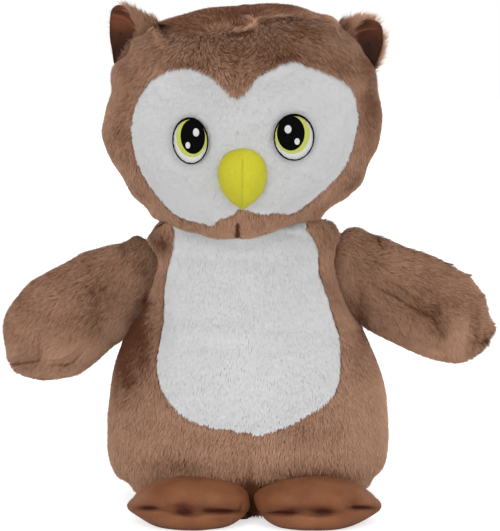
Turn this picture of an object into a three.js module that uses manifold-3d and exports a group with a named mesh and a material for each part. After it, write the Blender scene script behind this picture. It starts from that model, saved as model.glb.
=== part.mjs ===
// Sitting plush owl: a stuffed head on a pear-shaped body, two wings, two feet and two ears.
// Millimetres, +Z up, the face looks along -Y, the origin lies on the floor under the middle.
// Left and right are the owl's own, so its left wing is on the +X side.
// Every fabric panel is a shell of its own round a stuffing core, and lies a small gap from what it
// is sewn to. Each moving group has its origin on its seam, which is the axis that it turns about.
import * as THREE from 'three';
import { mergeVertices } from 'three/addons/utils/BufferGeometryUtils.js';
import Module from 'manifold-3d';

const wasm = await Module();
wasm.setup();

// Fabric and seams
const pile = 4;
const satin = 1.6;
const seam = 0.3;
const weld = 0.0005;
const overrun = 60;

// Body: half widths and depths of the sack, how far it runs under the floor before the flat cut, and
// how far its foot lies to the left of its neck, because it sits a little aslant
const bodyHeight = 228;
const bodyHalfWidth = 114;
const bodyFront = 88;
const bodyBack = 82;
const bodyTuck = 12;
const bodyLean = 4;
const basePanel = 4;
const bodyPower = 2.25;
// Each row: a height, then the half width and the front and back depths there, as shares of the
// four sizes above
const sackShares = [
  [0, 0.84, 0.8, 0.78], [0.035, 0.92, 0.89, 0.87], [0.105, 0.98, 0.97, 0.95], [0.24, 1, 1, 1],
  [0.435, 0.965, 0.99, 0.97], [0.583, 0.875, 0.93, 0.9], [0.7, 0.73, 0.83, 0.82],
  [0.83, 0.645, 0.7, 0.72], [0.9, 0.645, 0.6, 0.62], [0.947, 0.62, 0.47, 0.5],
  [0.978, 0.5, 0.33, 0.36],
];

// White belly panel, let into the front of the body
const bellyLow = 69;
const bellyHigh = 232;
const bellyHalfWidth = 73;
const bellyLean = 6;
// Half outline from the hem up, as shares of bellyHalfWidth and of the height from hem to top
const bellyShares = [[0, 0], [0.35, 0.015], [0.65, 0.065], [0.9, 0.165], [1, 0.34], [0.93, 0.55],
  [0.84, 0.75], [0.78, 0.9], [0.73, 1]];

// Neck: the stuffing bulges into the head as a roller, and the head nods round it
const neckHeight = 215;
const neckHalfWidth = 62;
const neckRadius = 40;
const neckSlack = 0.6;
const neckCollar = 14;
const nodForward = 6;
const nodBack = 12;

// Head
const headHeight = 315;
const headRise = 85;
const headDrop = 102;
const headHalfWidth = 111.5;
const headHalfDepth = 84;
const headPower = 2.4;
const jawPower = 2.2;
const chinPower = 3.2;
const headPlanPower = 2.3;

// White face panel, let into the front of the head, a little off level as it was sewn
const faceLow = 231;
const faceHigh = 354;
const faceHalfWidth = 88;
const faceRoll = 2;
// Half outline from the notch over the beak down to the chin, as shares of the panel's sizes
const faceShares = [[0, 0.81], [0.12, 0.9], [0.3, 0.975], [0.47, 1], [0.68, 0.97], [0.88, 0.87],
  [0.985, 0.72], [0.99, 0.58], [0.94, 0.42], [0.87, 0.28], [0.76, 0.15], [0.6, 0.045], [0.38, 0],
  [0.2, 0.06], [0, 0.115]];

// Embroidered eyes, sunk into the pile of the face
const eyeSpan = 39.5;
const eyeShift = -2;
const eyeHeight = 298;
const eyeHalfWidth = 14.8;
const eyeStretchShares = { left: 1.06, right: 0.94 };
const eyeHalfHeight = 18;
const eyeSink = 2.2;
const thread = 1.3;
const rimWidth = 1.3;
const whiteTip = 0.9;
const irisHalfWidth = 12.6;
const irisHalfHeight = 14.8;
const irisInward = 1.2;
const irisUp = 2.3;
const pupilHalfWidth = 10;
const pupilHalfHeight = 13.2;
const pupilInward = 2.2;
const pupilUp = 3.2;
const upperGlintHalfWidth = 2.7;
const upperGlintHalfHeight = 3.1;
const upperGlintInward = 4.2;
const upperGlintUp = 6.4;
const lowerGlintHalfWidth = 1.9;
const lowerGlintHalfHeight = 2.5;
const lowerGlintInward = -2.1;
const lowerGlintUp = -3.3;

// Padded beak with a seam down its middle
const beakTop = 291;
const beakTip = 245;
const beakHalfWidth = 18.5;
const beakBulge = 16;
// Half outline from the top down to the tip, as shares of beakHalfWidth and of the beak's height
const beakShares = [[0, 1], [0.5, 0.97], [0.88, 0.82], [1, 0.6], [0.84, 0.36], [0.52, 0.15], [0, 0]];

// Wings: flat pillows sewn into the side seams, swinging about a straight line along the seam
const shoulderX = 73;
const shoulderZ = 218;
const wingFootX = 100;
const wingFootZ = 130;
const wingRootX = 76;
const wingRootZ = 188;
const wingLength = 138;
const wingHalfWidth = 43;
const wingHalfDepth = 21;
const wingRootDepth = 5;
const wingRootTaper = 35;
const leftWingDroop = 26;
const rightWingDroop = 33.7;
const swingForward = 55;
const swingBack = 40;
// Outline round the wing from the shoulder, as shares of wingLength and wingHalfWidth
const wingShares = [[-0.08, 0.75], [0.1, 0.86], [0.39, 0.97], [0.62, 1.01], [0.73, 0.97],
  [0.84, 0.79], [0.92, 0.53], [0.985, 0.17], [1, -0.14], [0.95, -0.5], [0.84, -0.74], [0.6, -0.89],
  [0.4, -0.88], [0.2, -0.82], [-0.05, -0.3]];
const wingMiddleShare = 0.52;
// How far the filling stays away from the root seam, and where it starts to thicken, in fabric layers
const rootInsetShare = 3;
const rootTaperShare = 2;

// Ears: cupped fur leaves with a satin lining, sewn across the corners of the head
const earX = 87;
const earZ = 372;
const earSlope = 45;
const earHalfWidth = 24;
const leftEarHeight = 29;
const rightEarHeight = 31;
const earHalfDepth = 3.6;
const earCup = 6;
const earSeatRise = 6.5;
const leftEarLean = 5;
const rightEarLean = -9;
const liningMargin = 3;
const earMiddleShare = 0.4;
const earBend = 30;
// Outline round the ear from its inner corner, as shares of earHalfWidth and earHeight
const earShares = [[-1, -0.1], [-0.9, 0.4], [-0.55, 0.8], [-0.08, 1], [0.32, 0.8], [0.68, 0.48],
  [0.9, 0.15], [1, -0.15], [0.5, -0.25], [0, -0.3], [-0.5, -0.25]];

// Feet: satin pads with a dimpled crease at the seam between the upper and the sole
const leftFootX = 55;
const rightFootX = -42.5;
const footY = -84;
const leftFootHalfWidth = 49;
const rightFootHalfWidth = 45.5;
const footFront = 36;
const footRear = 34;
const footSeamHeight = 19;
const footRise = 20;
const footDrop = 24;
const footPinch = 4.5;
const footPinchReach = 6;
const footPower = 2.5;
const toes = 3;
const dimpleShare = 0.4;
const footHingeY = -75;
const footHingeZ = 8;
const toesUp = 12;
const toesDown = 18;

// Facets: fine for outer surfaces, coarse for what lies inside
const fine = { segments: 28, rings: 14 };
const coarse = { segments: 16, rings: 8 };
const limb = { segments: 22, rings: 8 };
const core = { segments: 14, rings: 6 };
const outlinePoints = 16;
// Stops on the way to each end of a joint's travel at which a piece is cut clear, as shares of it
const stopShares = [0.15, 0.5, 1];

// Materials
const brownPlush = material(0x84634b, 0.95);
const whitePlush = material(0xdcd9d4, 0.95);
const brownSatin = material(0x86553c, 0.45);
const darkSatin = material(0x54301f, 0.5);
const yellowSatin = material(0xc2bd36, 0.45);
const stuffing = material(0xf2efe6, 1);
const blackThread = material(0x101011, 0.5);
const whiteThread = material(0xe9e9e4, 0.6);
const greenThread = material(0xc1c764, 0.55);

function material(color, roughness) {
  return new THREE.MeshStandardMaterial({ color, roughness, metalness: 0 });
}

// A closed three.js geometry as a solid that can be joined and cut
function solid(geometry) {
  const bare = geometry.clone();
  bare.deleteAttribute('normal');
  bare.deleteAttribute('uv');
  const merged = mergeVertices(bare, weld);
  return new wasm.Manifold(new wasm.Mesh({
    numProp: 3,
    vertProperties: new Float32Array(merged.attributes.position.array),
    triVerts: new Uint32Array(merged.index.array),
  }));
}

function named(name, shape, look) {
  const { vertProperties, triVerts } = shape.getMesh();
  const geometry = new THREE.BufferGeometry();
  geometry.setAttribute('position', new THREE.BufferAttribute(vertProperties, 3));
  geometry.setIndex(new THREE.BufferAttribute(triVerts, 1));
  geometry.computeVertexNormals();
  const mesh = new THREE.Mesh(geometry, look);
  mesh.name = name;
  return mesh;
}

// A sphere whose points are put elsewhere: around runs from 0 to a full turn, down from 0 to half
function swollen({ segments, rings }, place) {
  const form = new THREE.SphereGeometry(1, segments, rings);
  const { position, uv } = form.attributes;
  for (let i = 0; i < position.count; i += 1) {
    const around = 2 * Math.PI * (uv.getX(i) + 0.5);
    const down = Math.PI * (1 - uv.getY(i));
    position.setXYZ(i, ...place(around, down));
  }
  return solid(form);
}

const eased = (value, power) => Math.sign(value) * Math.abs(value) ** (2 / power);
const radians = THREE.MathUtils.degToRad;

function block(low, high) {
  const size = high.map((value, axis) => value - low[axis]);
  const box = new THREE.BoxGeometry(...size);
  box.translate(...high.map((value, axis) => (value + low[axis]) / 2));
  return solid(box);
}

// Half spaces and slabs that cut panels apart, all far larger than the owl
const far = bodyHeight + headRise + headDrop + wingLength + overrun;
const sideOf = (side) => block(
  [side > 0 ? seam / 2 : -far, -far, -far],
  [side > 0 ? far : -seam / 2, far, far],
);
const frontOf = (y) => block([-far, -far, -far], [far, y - seam / 2, far]);
const behind = (y) => block([-far, y + seam / 2, -far], [far, far, far]);
const above = (z) => block([-far, -far, z], [far, far, far]);
const below = (z) => block([-far, -far, -far], [far, far, z]);

// Smooth half outline, mirrored into a whole one; its first and last points lie on the mirror line
function mirrored(half) {
  const curve = new THREE.SplineCurve(half.map(([x, z]) => new THREE.Vector2(x, z)));
  const points = curve.getPoints(outlinePoints);
  const others = points.slice(1, -1).reverse().map(({ x, y }) => new THREE.Vector2(-x, y));
  return [...points, ...others];
}

// Each point of a closed outline moved outwards along its normal
function widened(points, amount) {
  const turnsLeft = THREE.ShapeUtils.area(points) > 0 ? 1 : -1;
  return points.map((point, i) => {
    const before = points[(i + points.length - 1) % points.length];
    const after = points[(i + 1) % points.length];
    const run = after.clone().sub(before).normalize().multiplyScalar(turnsLeft * amount);
    return new THREE.Vector2(point.x + run.y, point.y - run.x);
  });
}

// Prism of an outline in x and z, running from the middle of the owl out through its front
function frontPrism(points) {
  const geometry = new THREE.ExtrudeGeometry(new THREE.Shape(points), {
    depth: far,
    bevelEnabled: false,
  });
  geometry.rotateX(Math.PI / 2);
  return solid(geometry);
}

function ellipse(x, z, halfWidth, halfHeight) {
  const curve = new THREE.EllipseCurve(x, z, halfWidth, halfHeight);
  return curve.getPoints(outlinePoints).slice(0, -1);
}

// A piece as it must be cut to stay clear of its neighbour at rest and on the way to both ends of its
// travel
function freed(piece, neighbour, hinge, ends) {
  const back = new THREE.Matrix4();
  return [0, ...ends.flatMap((end) => stopShares.map((share) => share * end))].reduce((shape, angle) => {
    back.makeTranslation(...hinge.point.clone().negate());
    back.premultiply(new THREE.Matrix4().makeRotationAxis(hinge.axis, -radians(angle)));
    back.premultiply(new THREE.Matrix4().makeTranslation(...hinge.point));
    return shape.subtract(neighbour.transform(back.elements));
  }, piece);
}

// Outlines of the sack from below the floor to its top: half width, front or back against height
function sackOutline(column, size) {
  return new THREE.SplineCurve([
    new THREE.Vector2(0, -bodyTuck),
    ...sackShares.map((row) => new THREE.Vector2(row[column] * size, row[0] * bodyHeight)),
    new THREE.Vector2(0, bodyHeight),
  ]);
}

const sackSide = sackOutline(1, bodyHalfWidth);
const sackFront = sackOutline(2, bodyFront);
const sackBack = sackOutline(3, bodyBack);

const leanAt = (height) => bodyLean * (1 - height / bodyHeight);

function sackForm(grow, facets) {
  return swollen(facets, (around, down) => {
    const share = 1 - down / Math.PI;
    const reachOf = (outline) => outline.getPoint(share).x
      + grow * outline.getTangent(share).y * Math.sin(down);
    const height = sackSide.getPoint(share).y;
    const face = Math.sin(around) < 0 ? sackFront : sackBack;
    return [
      leanAt(height) + reachOf(sackSide) * eased(Math.cos(around), bodyPower),
      reachOf(face) * eased(Math.sin(around), bodyPower),
      height + grow * Math.cos(down),
    ];
  });
}

function neckForm(grow, facets) {
  return swollen(facets, (around, down) => [
    (neckHalfWidth + grow) * Math.cos(down),
    (neckRadius + grow) * Math.sin(down) * Math.cos(around),
    neckHeight + (neckRadius + grow) * Math.sin(down) * Math.sin(around),
  ]);
}

// Share of the head's half width and half depth that is left at a level between its middle and its
// crown or chin
function headReach(level) {
  const left = (power) => (1 - Math.min(Math.abs(level), 1) ** power) ** (1 / power);
  return level > 0 ? [left(headPower), left(headPower)] : [left(jawPower), left(chinPower)];
}

function headForm(grow, facets) {
  return swollen(facets, (around, down) => {
    const level = eased(Math.cos(down), headPower);
    const [wide, deep] = headReach(level);
    return [
      wide * (headHalfWidth + grow) * eased(Math.cos(around), headPlanPower),
      deep * (headHalfDepth + grow) * eased(Math.sin(around), headPlanPower),
      headHeight + ((level > 0 ? headRise : headDrop) + grow) * level,
    ];
  });
}

// How far forward the face lies at x and z
function faceDepth(x, z, grow) {
  const climb = z - headHeight;
  const [wide, deep] = headReach(climb / ((climb > 0 ? headRise : headDrop) + grow));
  const aside = Math.abs(x) / (wide * (headHalfWidth + grow));
  return -deep * (headHalfDepth + grow) * (1 - aside ** headPlanPower) ** (1 / headPlanPower);
}

// Hinges, each a point on a seam and the direction of the seam. A positive turn is forward or, for
// the feet, toes down
const nodHinge = {
  point: new THREE.Vector3(0, 0, neckHeight),
  axis: new THREE.Vector3(1, 0, 0),
};
const swingHinge = (side) => ({
  point: new THREE.Vector3(side * shoulderX, 0, shoulderZ),
  axis: new THREE.Vector3(wingFootX - shoulderX, 0, side * (wingFootZ - shoulderZ)).normalize(),
});
const earHinge = (side) => ({
  point: new THREE.Vector3(
    side * (earX + earSeatRise * Math.sin(radians(earSlope))),
    0,
    earZ + earSeatRise * Math.cos(radians(earSlope)),
  ),
  axis: new THREE.Vector3(Math.cos(radians(earSlope)), 0, -side * Math.sin(radians(earSlope))),
});
const footHinge = (side) => ({
  point: new THREE.Vector3(side > 0 ? leftFootX : rightFootX, footHingeY, footHingeZ),
  axis: new THREE.Vector3(1, 0, 0),
});

// Body: four brown panels, the white belly, the base and the stuffing with its neck roller
function buildBody() {
  const innerSack = sackForm(-pile, coarse);
  const outer = sackForm(0, fine).add(neckForm(0, fine));
  const inner = innerSack.add(neckForm(-pile, coarse));
  const collar = neckHeight + neckCollar;
  const skin = outer.subtract(inner).intersect(above(basePanel + seam)).intersect(below(collar));
  const bellyTall = bellyHigh - bellyLow;
  const bellyOutline = mirrored(bellyShares.map(([w, h]) => [
    w * bellyHalfWidth,
    bellyLow + h * bellyTall,
  ])).map(({ x, y }) => new THREE.Vector2(x + (bellyLean * (bellyHigh - y)) / bellyTall, y));
  const belly = skin.intersect(frontPrism(bellyOutline));
  const round = skin.subtract(frontPrism(widened(bellyOutline, seam)));
  const bare = sackForm(-pile - seam, coarse).add(neckForm(-pile - seam, coarse));
  const roller = neckForm(0, fine).intersect(above(collar + seam));
  const filling = bare.intersect(above(basePanel + seam)).add(roller);
  const base = sackForm(0, fine).intersect(above(0)).intersect(below(basePanel));
  const group = new THREE.Group();
  group.add(
    named('belly_panel', belly, whitePlush),
    named('body_base_skin', base, brownPlush),
    named('body_stuffing', filling, stuffing),
  );
  for (const [hand, side] of [['left', 1], ['right', -1]]) {
    const half = round.intersect(sideOf(side));
    group.add(
      named(`body_front_${hand}_skin`, half.intersect(frontOf(0)), brownPlush),
      named(`body_back_${hand}_skin`, half.intersect(behind(0)), brownPlush),
    );
  }
  return group;
}

// The face rolls a little about the middle of the head
function rolled(points) {
  const middle = new THREE.Vector2(0, headHeight);
  return points.map((point) => point.clone().rotateAround(middle, radians(faceRoll)));
}

// One embroidered eye: rim, white, iris, pupil and two glints, side by side in a sunk patch
function buildEye(hand, side, group) {
  const stretch = eyeStretchShares[hand];
  const field = (inward, up, halfWidth, halfHeight, extra) => frontPrism(widened(rolled(
    ellipse(
      eyeShift + side * (eyeSpan - inward * stretch),
      eyeHeight + up,
      halfWidth * stretch,
      halfHeight,
    ),
  ), extra));
  const layer = headForm(-eyeSink + seam + thread, fine).subtract(headForm(-eyeSink + seam, fine));
  const outer = field(0, 0, eyeHalfWidth, eyeHalfHeight, 0);
  const inside = field(0, 0, eyeHalfWidth, eyeHalfHeight, -rimWidth);
  const open = field(0, 0, eyeHalfWidth, eyeHalfHeight, -rimWidth - seam);
  const iris = (extra) => field(irisInward, irisUp, irisHalfWidth, irisHalfHeight, extra);
  const pupil = (extra) => field(pupilInward, pupilUp, pupilHalfWidth, pupilHalfHeight, extra);
  const glints = [
    ['upper', [upperGlintInward, upperGlintUp, upperGlintHalfWidth, upperGlintHalfHeight]],
    ['lower', [lowerGlintInward, lowerGlintUp, lowerGlintHalfWidth, lowerGlintHalfHeight]],
  ];
  const low = field(-whiteTip, -whiteTip, eyeHalfWidth, eyeHalfHeight, -rimWidth - seam);
  const crescent = layer.intersect(open).intersect(low);
  const dark = layer.intersect(open).intersect(pupil(0));
  const black = glints.reduce((shape, [, sizes]) => shape.subtract(field(...sizes, seam)), dark);
  group.add(
    named(`eye_${hand}_rim`, layer.intersect(outer).subtract(inside), blackThread),
    named(`eye_${hand}_white`,
      crescent.subtract(iris(seam)).subtract(pupil(seam)), whiteThread),
    named(`eye_${hand}_iris`,
      layer.intersect(open).intersect(iris(0)).subtract(pupil(seam)), greenThread),
    named(`eye_${hand}_pupil`, black, blackThread),
    ...glints.map(([which, sizes]) => named(`eye_${hand}_glint_${which}`,
      layer.intersect(field(...sizes, 0)), whiteThread)),
  );
}

// The patch of pile that the eye's stitches press down
function eyePatch(hand, side) {
  const halfWidth = eyeHalfWidth * eyeStretchShares[hand];
  const middle = eyeShift + side * eyeSpan;
  const outline = rolled(ellipse(middle, eyeHeight, halfWidth, eyeHalfHeight));
  return frontPrism(widened(outline, seam)).subtract(headForm(-eyeSink, fine));
}

// Beak: a padded dome on the face, between its edge outline and its crown. Its back lies off the
// panel by the given amount, which is negative for the hollow, because the dome is open behind
function beakForm(inset, lift, facets) {
  const tall = beakTop - beakTip;
  const half = new THREE.SplineCurve(beakShares.map(([w, h]) => new THREE.Vector2(
    w * beakHalfWidth,
    beakTip + h * tall,
  )));
  const middle = new THREE.Vector2(0, (beakTop + beakTip) / 2);
  return swollen(facets, (around, down) => {
    const turn = (4.5 - around / Math.PI) % 2;
    const edge = half.getPoint(turn > 1 ? 2 - turn : turn);
    const spoke = new THREE.Vector2(turn > 1 ? -edge.x : edge.x, edge.y).sub(middle);
    const reach = Math.sin(down) * (1 - inset / spoke.length());
    const x = middle.x + spoke.x * reach;
    const z = middle.y + spoke.y * reach;
    const padding = (beakBulge - inset) * Math.max(Math.cos(down), 0);
    return [x, faceDepth(x, z, down > Math.PI / 2 ? lift : seam) - padding, z];
  });
}

function buildBeak(group) {
  const skin = beakForm(0, seam, limb).subtract(beakForm(satin, -satin, core));
  group.add(
    named('beak_left_panel', skin.intersect(sideOf(1)), yellowSatin),
    named('beak_right_panel', skin.intersect(sideOf(-1)), yellowSatin),
    named('beak_stuffing', beakForm(satin + seam, seam, core), stuffing),
  );
}

// Head: four brown panels, the white face, the stuffing, the eyes and the beak
function buildHead() {
  const nods = [nodForward, -nodBack];
  const neck = neckForm(neckSlack, fine);
  const shoulders = sackForm(seam, fine);
  const fitted = (shape) => freed(shape.subtract(neck), shoulders, nodHinge, nods);
  const skin = fitted(headForm(0, fine).subtract(headForm(-pile, coarse)));
  const faceOutline = rolled(mirrored(faceShares.map(([w, h]) => [
    w * faceHalfWidth,
    faceLow + h * (faceHigh - faceLow),
  ])));
  const face = skin.intersect(frontPrism(faceOutline));
  const round = skin.subtract(frontPrism(widened(faceOutline, seam)));
  const group = new THREE.Group();
  group.add(
    named('face_panel', face.subtract(eyePatch('left', 1)).subtract(eyePatch('right', -1)), whitePlush),
    named('head_stuffing', fitted(headForm(-pile - seam, coarse)), stuffing),
  );
  for (const [hand, side] of [['left', 1], ['right', -1]]) {
    const half = round.intersect(sideOf(side));
    group.add(
      named(`head_front_${hand}_skin`, half.intersect(frontOf(0)), brownPlush),
      named(`head_back_${hand}_skin`, half.intersect(behind(0)), brownPlush),
    );
    buildEye(hand, side, group);
  }
  buildBeak(group);
  return group;
}

// Points all round a closed outline
function ring(points, count) {
  const curve = new THREE.CatmullRomCurve3(
    points.map(([x, z]) => new THREE.Vector3(x, 0, z)),
    true,
    'centripetal',
  );
  return Array.from({ length: count }, (_, i) => curve.getPointAt(i / count));
}

const onRing = (points, around) => points.at(
  Math.round((around / (2 * Math.PI) - 0.5) * points.length) % points.length,
);

// Wing: a pillow over its outline, thin at the root so that it can swing beside the body. The inset
// shapes the hollow, and slack then shrinks the same shape evenly for what fills it
function wingForm(side, inset, slack, facets) {
  const droop = radians(side > 0 ? leftWingDroop : rightWingDroop);
  const along = new THREE.Vector3(Math.cos(droop), 0, -Math.sin(droop));
  const across = new THREE.Vector3(Math.sin(droop), 0, Math.cos(droop));
  const pivot = new THREE.Vector3(wingRootX, 0, wingRootZ);
  const place = (u, v) => pivot.clone().addScaledVector(along, u).addScaledVector(across, v);
  const { point, axis } = swingHinge(1);
  const outward = new THREE.Vector3(-axis.z, 0, axis.x);
  const fromSeam = (spot) => spot.clone().sub(point).dot(outward);
  const middle = place(wingMiddleShare * wingLength, 0);
  const outline = ring(
    wingShares.map(([u, v]) => [u * wingLength, v * wingHalfWidth]),
    facets.segments,
  ).map(({ x, z }) => {
    const edge = place(x, z);
    edge.addScaledVector(middle.clone().sub(edge).normalize(), inset);
    const short = rootInsetShare * inset - fromSeam(edge);
    return inset > 0 && short > 0 ? edge.addScaledVector(outward, short) : edge;
  });
  return swollen(facets, (around, down) => {
    const edge = onRing(outline, around);
    const spot = middle.clone().lerp(edge, Math.sin(down));
    const free = fromSeam(spot) - rootTaperShare * inset;
    const full = Math.min(Math.max(free, 0) / wingRootTaper, 1);
    const root = inset > 0 ? 0 : wingRootDepth;
    const thick = root + (wingHalfDepth - inset - slack - root) * full;
    spot.lerp(middle, slack / edge.distanceTo(middle));
    return [side * spot.x, side * thick * Math.cos(down), spot.z];
  });
}

function buildWing(hand, side) {
  const swings = [swingForward, -swingBack];
  const beside = sackForm(seam, fine);
  const fitted = (shape) => freed(shape, beside, swingHinge(side), swings);
  const skin = fitted(wingForm(side, 0, 0, limb).subtract(wingForm(side, pile, 0, core)));
  const group = new THREE.Group();
  group.add(
    named(`wing_${hand}_front_skin`, skin.intersect(frontOf(0)), brownPlush),
    named(`wing_${hand}_back_skin`, skin.intersect(behind(0)), brownPlush),
    named(`wing_${hand}_stuffing`, fitted(wingForm(side, pile, seam, core)), stuffing),
  );
  return group;
}

// Ear: a leaf that stands on the slope of the head, cupped towards the front
function earForm(side, inset, sink, halfDepth, facets) {
  const lean = side > 0 ? leftEarLean : rightEarLean;
  const earHeight = side > 0 ? leftEarHeight : rightEarHeight;
  const slope = radians(earSlope);
  const outline = ring(
    earShares.map(([a, h]) => [a * earHalfWidth + h * lean, h * earHeight]),
    facets.segments,
  );
  const middle = new THREE.Vector3(0, 0, earMiddleShare * earHeight);
  return swollen(facets, (around, down) => {
    const spoke = onRing(outline, around).clone().sub(middle);
    const reach = Math.sin(down) * (1 - inset / spoke.length());
    const { x: a, z: h } = middle.clone().addScaledVector(spoke, reach);
    const cup = earCup * (1 - (a / earHalfWidth) ** 2) * (h / earHeight);
    return [
      side * (earX + a * Math.cos(slope) + h * Math.sin(slope)),
      cup - sink + side * halfDepth * Math.cos(down),
      earZ - a * Math.sin(slope) + h * Math.cos(slope),
    ];
  });
}

function buildEar(hand, side) {
  const bends = [earBend, -earBend];
  const corner = headForm(seam, fine);
  const fitted = (shape) => freed(shape, corner, earHinge(side), bends);
  const lining = (extra) => earForm(side, liningMargin - extra, earHalfDepth, satin + extra, core);
  const fur = earForm(side, 0, 0, earHalfDepth, limb).subtract(lining(seam));
  const group = new THREE.Group();
  group.add(
    named(`ear_${hand}_outer`, fitted(fur), brownPlush),
    named(`ear_${hand}_lining`, fitted(lining(0)), darkSatin),
  );
  return group;
}

// Foot: a flat-bottomed pad, pinched in along the seam round its front between the toes
function footForm(side, inset, facets) {
  const middle = side > 0 ? leftFootX : rightFootX;
  const halfWidth = side > 0 ? leftFootHalfWidth : rightFootHalfWidth;
  return swollen(facets, (around, down) => {
    const level = Math.cos(down);
    const reach = eased(Math.sin(down), footPower);
    const climb = ((level > 0 ? footRise : footDrop) - inset) * eased(level, footPower);
    const ahead = Math.max(-Math.sin(around), 0);
    const scallop = Math.cos(2 * toes * (around + Math.PI / 2));
    const dimples = ahead * (1 - dimpleShare + dimpleShare * scallop);
    const pinch = footPinch * dimples * Math.exp(-((climb / footPinchReach) ** 2));
    const long = Math.sin(around) < 0 ? footFront : footRear;
    return [
      middle + reach * (halfWidth - inset - pinch) * eased(Math.cos(around), footPower),
      footY + reach * (long - inset - pinch) * eased(Math.sin(around), footPower),
      footSeamHeight + climb,
    ];
  });
}

function buildFoot(hand, side) {
  const bends = [toesDown, -toesUp];
  const front = sackForm(seam, fine);
  const fitted = (shape) => freed(shape.intersect(above(0)), front, footHinge(side), bends);
  const cavity = footForm(side, satin, core).intersect(above(satin));
  const skin = fitted(footForm(side, 0, limb).subtract(cavity));
  const filling = footForm(side, satin + seam, core).intersect(above(satin + seam));
  const group = new THREE.Group();
  group.add(
    named(`foot_${hand}_upper`, skin.intersect(above(footSeamHeight + seam / 2)), brownSatin),
    named(`foot_${hand}_sole`, skin.intersect(below(footSeamHeight - seam / 2)), brownSatin),
    named(`foot_${hand}_stuffing`, fitted(filling), stuffing),
  );
  return group;
}

// A moving group, with its origin on its seam
function hung(group, hinge) {
  for (const mesh of group.children) {
    mesh.geometry.translate(...hinge.point.clone().negate());
  }
  group.position.copy(hinge.point);
  return group;
}

const owl = new THREE.Group();
const head = hung(buildHead(), nodHinge);
owl.add(buildBody(), head);
for (const [hand, side] of [['left', 1], ['right', -1]]) {
  owl.add(hung(buildWing(hand, side), swingHinge(side)));
  owl.add(hung(buildFoot(hand, side), footHinge(side)));
  const ear = hung(buildEar(hand, side), earHinge(side));
  ear.position.sub(head.position);
  head.add(ear);
}

export default owl;
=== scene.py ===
"""Sitting plush owl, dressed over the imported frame: pile panels, satin beak, ears and feet, embroidered eyes.

Lengths are in millimetres until a mesh is made. The face looks along -Y and +Z is up. Left and right
are the owl's own, so its left side is on +X. Places written as pixels are in the photograph's frame of
500 by 531, and are carried onto the owl by the same camera that renders it.
"""

import math

import bpy
import numpy as np
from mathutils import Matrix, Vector


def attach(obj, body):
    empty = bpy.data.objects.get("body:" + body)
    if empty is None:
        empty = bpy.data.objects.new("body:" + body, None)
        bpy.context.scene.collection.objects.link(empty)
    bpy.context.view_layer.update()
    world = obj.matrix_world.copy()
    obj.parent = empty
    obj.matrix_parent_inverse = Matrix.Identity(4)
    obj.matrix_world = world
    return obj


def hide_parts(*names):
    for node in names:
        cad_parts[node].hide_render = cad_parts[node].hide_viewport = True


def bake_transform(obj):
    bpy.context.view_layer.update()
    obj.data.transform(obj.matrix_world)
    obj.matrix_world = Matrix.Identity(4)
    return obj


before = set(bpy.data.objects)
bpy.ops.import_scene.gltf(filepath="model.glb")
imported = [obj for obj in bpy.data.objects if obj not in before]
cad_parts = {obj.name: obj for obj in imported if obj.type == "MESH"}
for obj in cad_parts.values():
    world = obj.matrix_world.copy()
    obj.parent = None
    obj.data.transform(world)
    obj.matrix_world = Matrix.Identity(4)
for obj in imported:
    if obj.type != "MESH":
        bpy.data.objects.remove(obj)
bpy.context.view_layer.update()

# Camera: distance from the point that it looks at, elevation, focal length and optical centre in pixels
AIM = np.array([0.0, 0.0, 200.0])
DISTANCE = 1600.0
ELEVATION = math.radians(7.5)
COS, SIN = math.cos(ELEVATION), math.sin(ELEVATION)
FOCAL = 1985.0
CENTRE = (244.0, 253.3)
FRAME = (500, 531)

# Sizes shared with the part's solids
PILE = 4.0
BODY_HEIGHT, BODY_HALF, BODY_FRONT, BODY_BACK = 228.0, 114.0, 88.0, 82.0
BODY_TUCK, BODY_LEAN, BODY_POWER = 12.0, 4.0, 2.25
# Height, half width, front depth and back depth of the body, as shares of the largest
SACK = [
    (0, 0.6, 0.8, 0.78), (0.035, 0.8, 0.89, 0.87), (0.105, 0.962, 0.97, 0.95), (0.24, 1, 1, 1),
    (0.435, 0.965, 0.99, 0.97), (0.583, 0.875, 0.93, 0.9), (0.7, 0.73, 0.83, 0.82), (0.83, 0.645, 0.7, 0.72),
    (0.9, 0.645, 0.6, 0.62), (0.947, 0.62, 0.47, 0.5), (0.978, 0.5, 0.33, 0.36),
]
HEAD_Z, HEAD_RISE, HEAD_DROP, HEAD_HALF, HEAD_DEEP = 315.0, 85.0, 102.0, 111.5, 84.0
HEAD_POWER, JAW_POWER, CHIN_POWER, PLAN_POWER = 2.4, 2.2, 3.2, 2.3
FACE_ROLL = 2.0
SHOULDER, WING_FOOT, WING_ROOT = (73.0, 218.0), (100.0, 130.0), (76.0, 188.0)
WING_LENGTH, WING_HALF, WING_DEEP, WING_MIDDLE = 138.0, 43.0, 21.0, 0.52
WING_DROOP = {"left": 26.0, "right": 33.7}
WING = [
    (-0.08, 0.75), (0.1, 0.86), (0.39, 0.97), (0.62, 1.01), (0.73, 0.97), (0.84, 0.79), (0.92, 0.53), (0.985, 0.17),
    (1, -0.14), (0.95, -0.5), (0.84, -0.74), (0.6, -0.89), (0.4, -0.88), (0.2, -0.82), (-0.05, -0.3),
]
EAR_X, EAR_Z, EAR_HALF = 87.0, 372.0, 24.0
EAR_TALL = {"left": 29.0, "right": 31.0}
FOOT_X = {"left": 55.0, "right": -42.5}
FOOT_HALF = {"left": 49.0, "right": 45.5}
FOOT_Y, FOOT_FRONT, FOOT_REAR, FOOT_SEAM, FOOT_RISE, FOOT_DROP = -84.0, 36.0, 34.0, 19.0, 20.0, 24.0
BEAK_TOP, BEAK_TIP, BEAK_HALF, BEAK_BULGE = 291.0, 245.0, 18.5, 16.0
BEAK = [(0, 1), (0.42, 0.965), (0.78, 0.85), (0.98, 0.64), (0.91, 0.38), (0.6, 0.15), (0, -0.05)]
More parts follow.
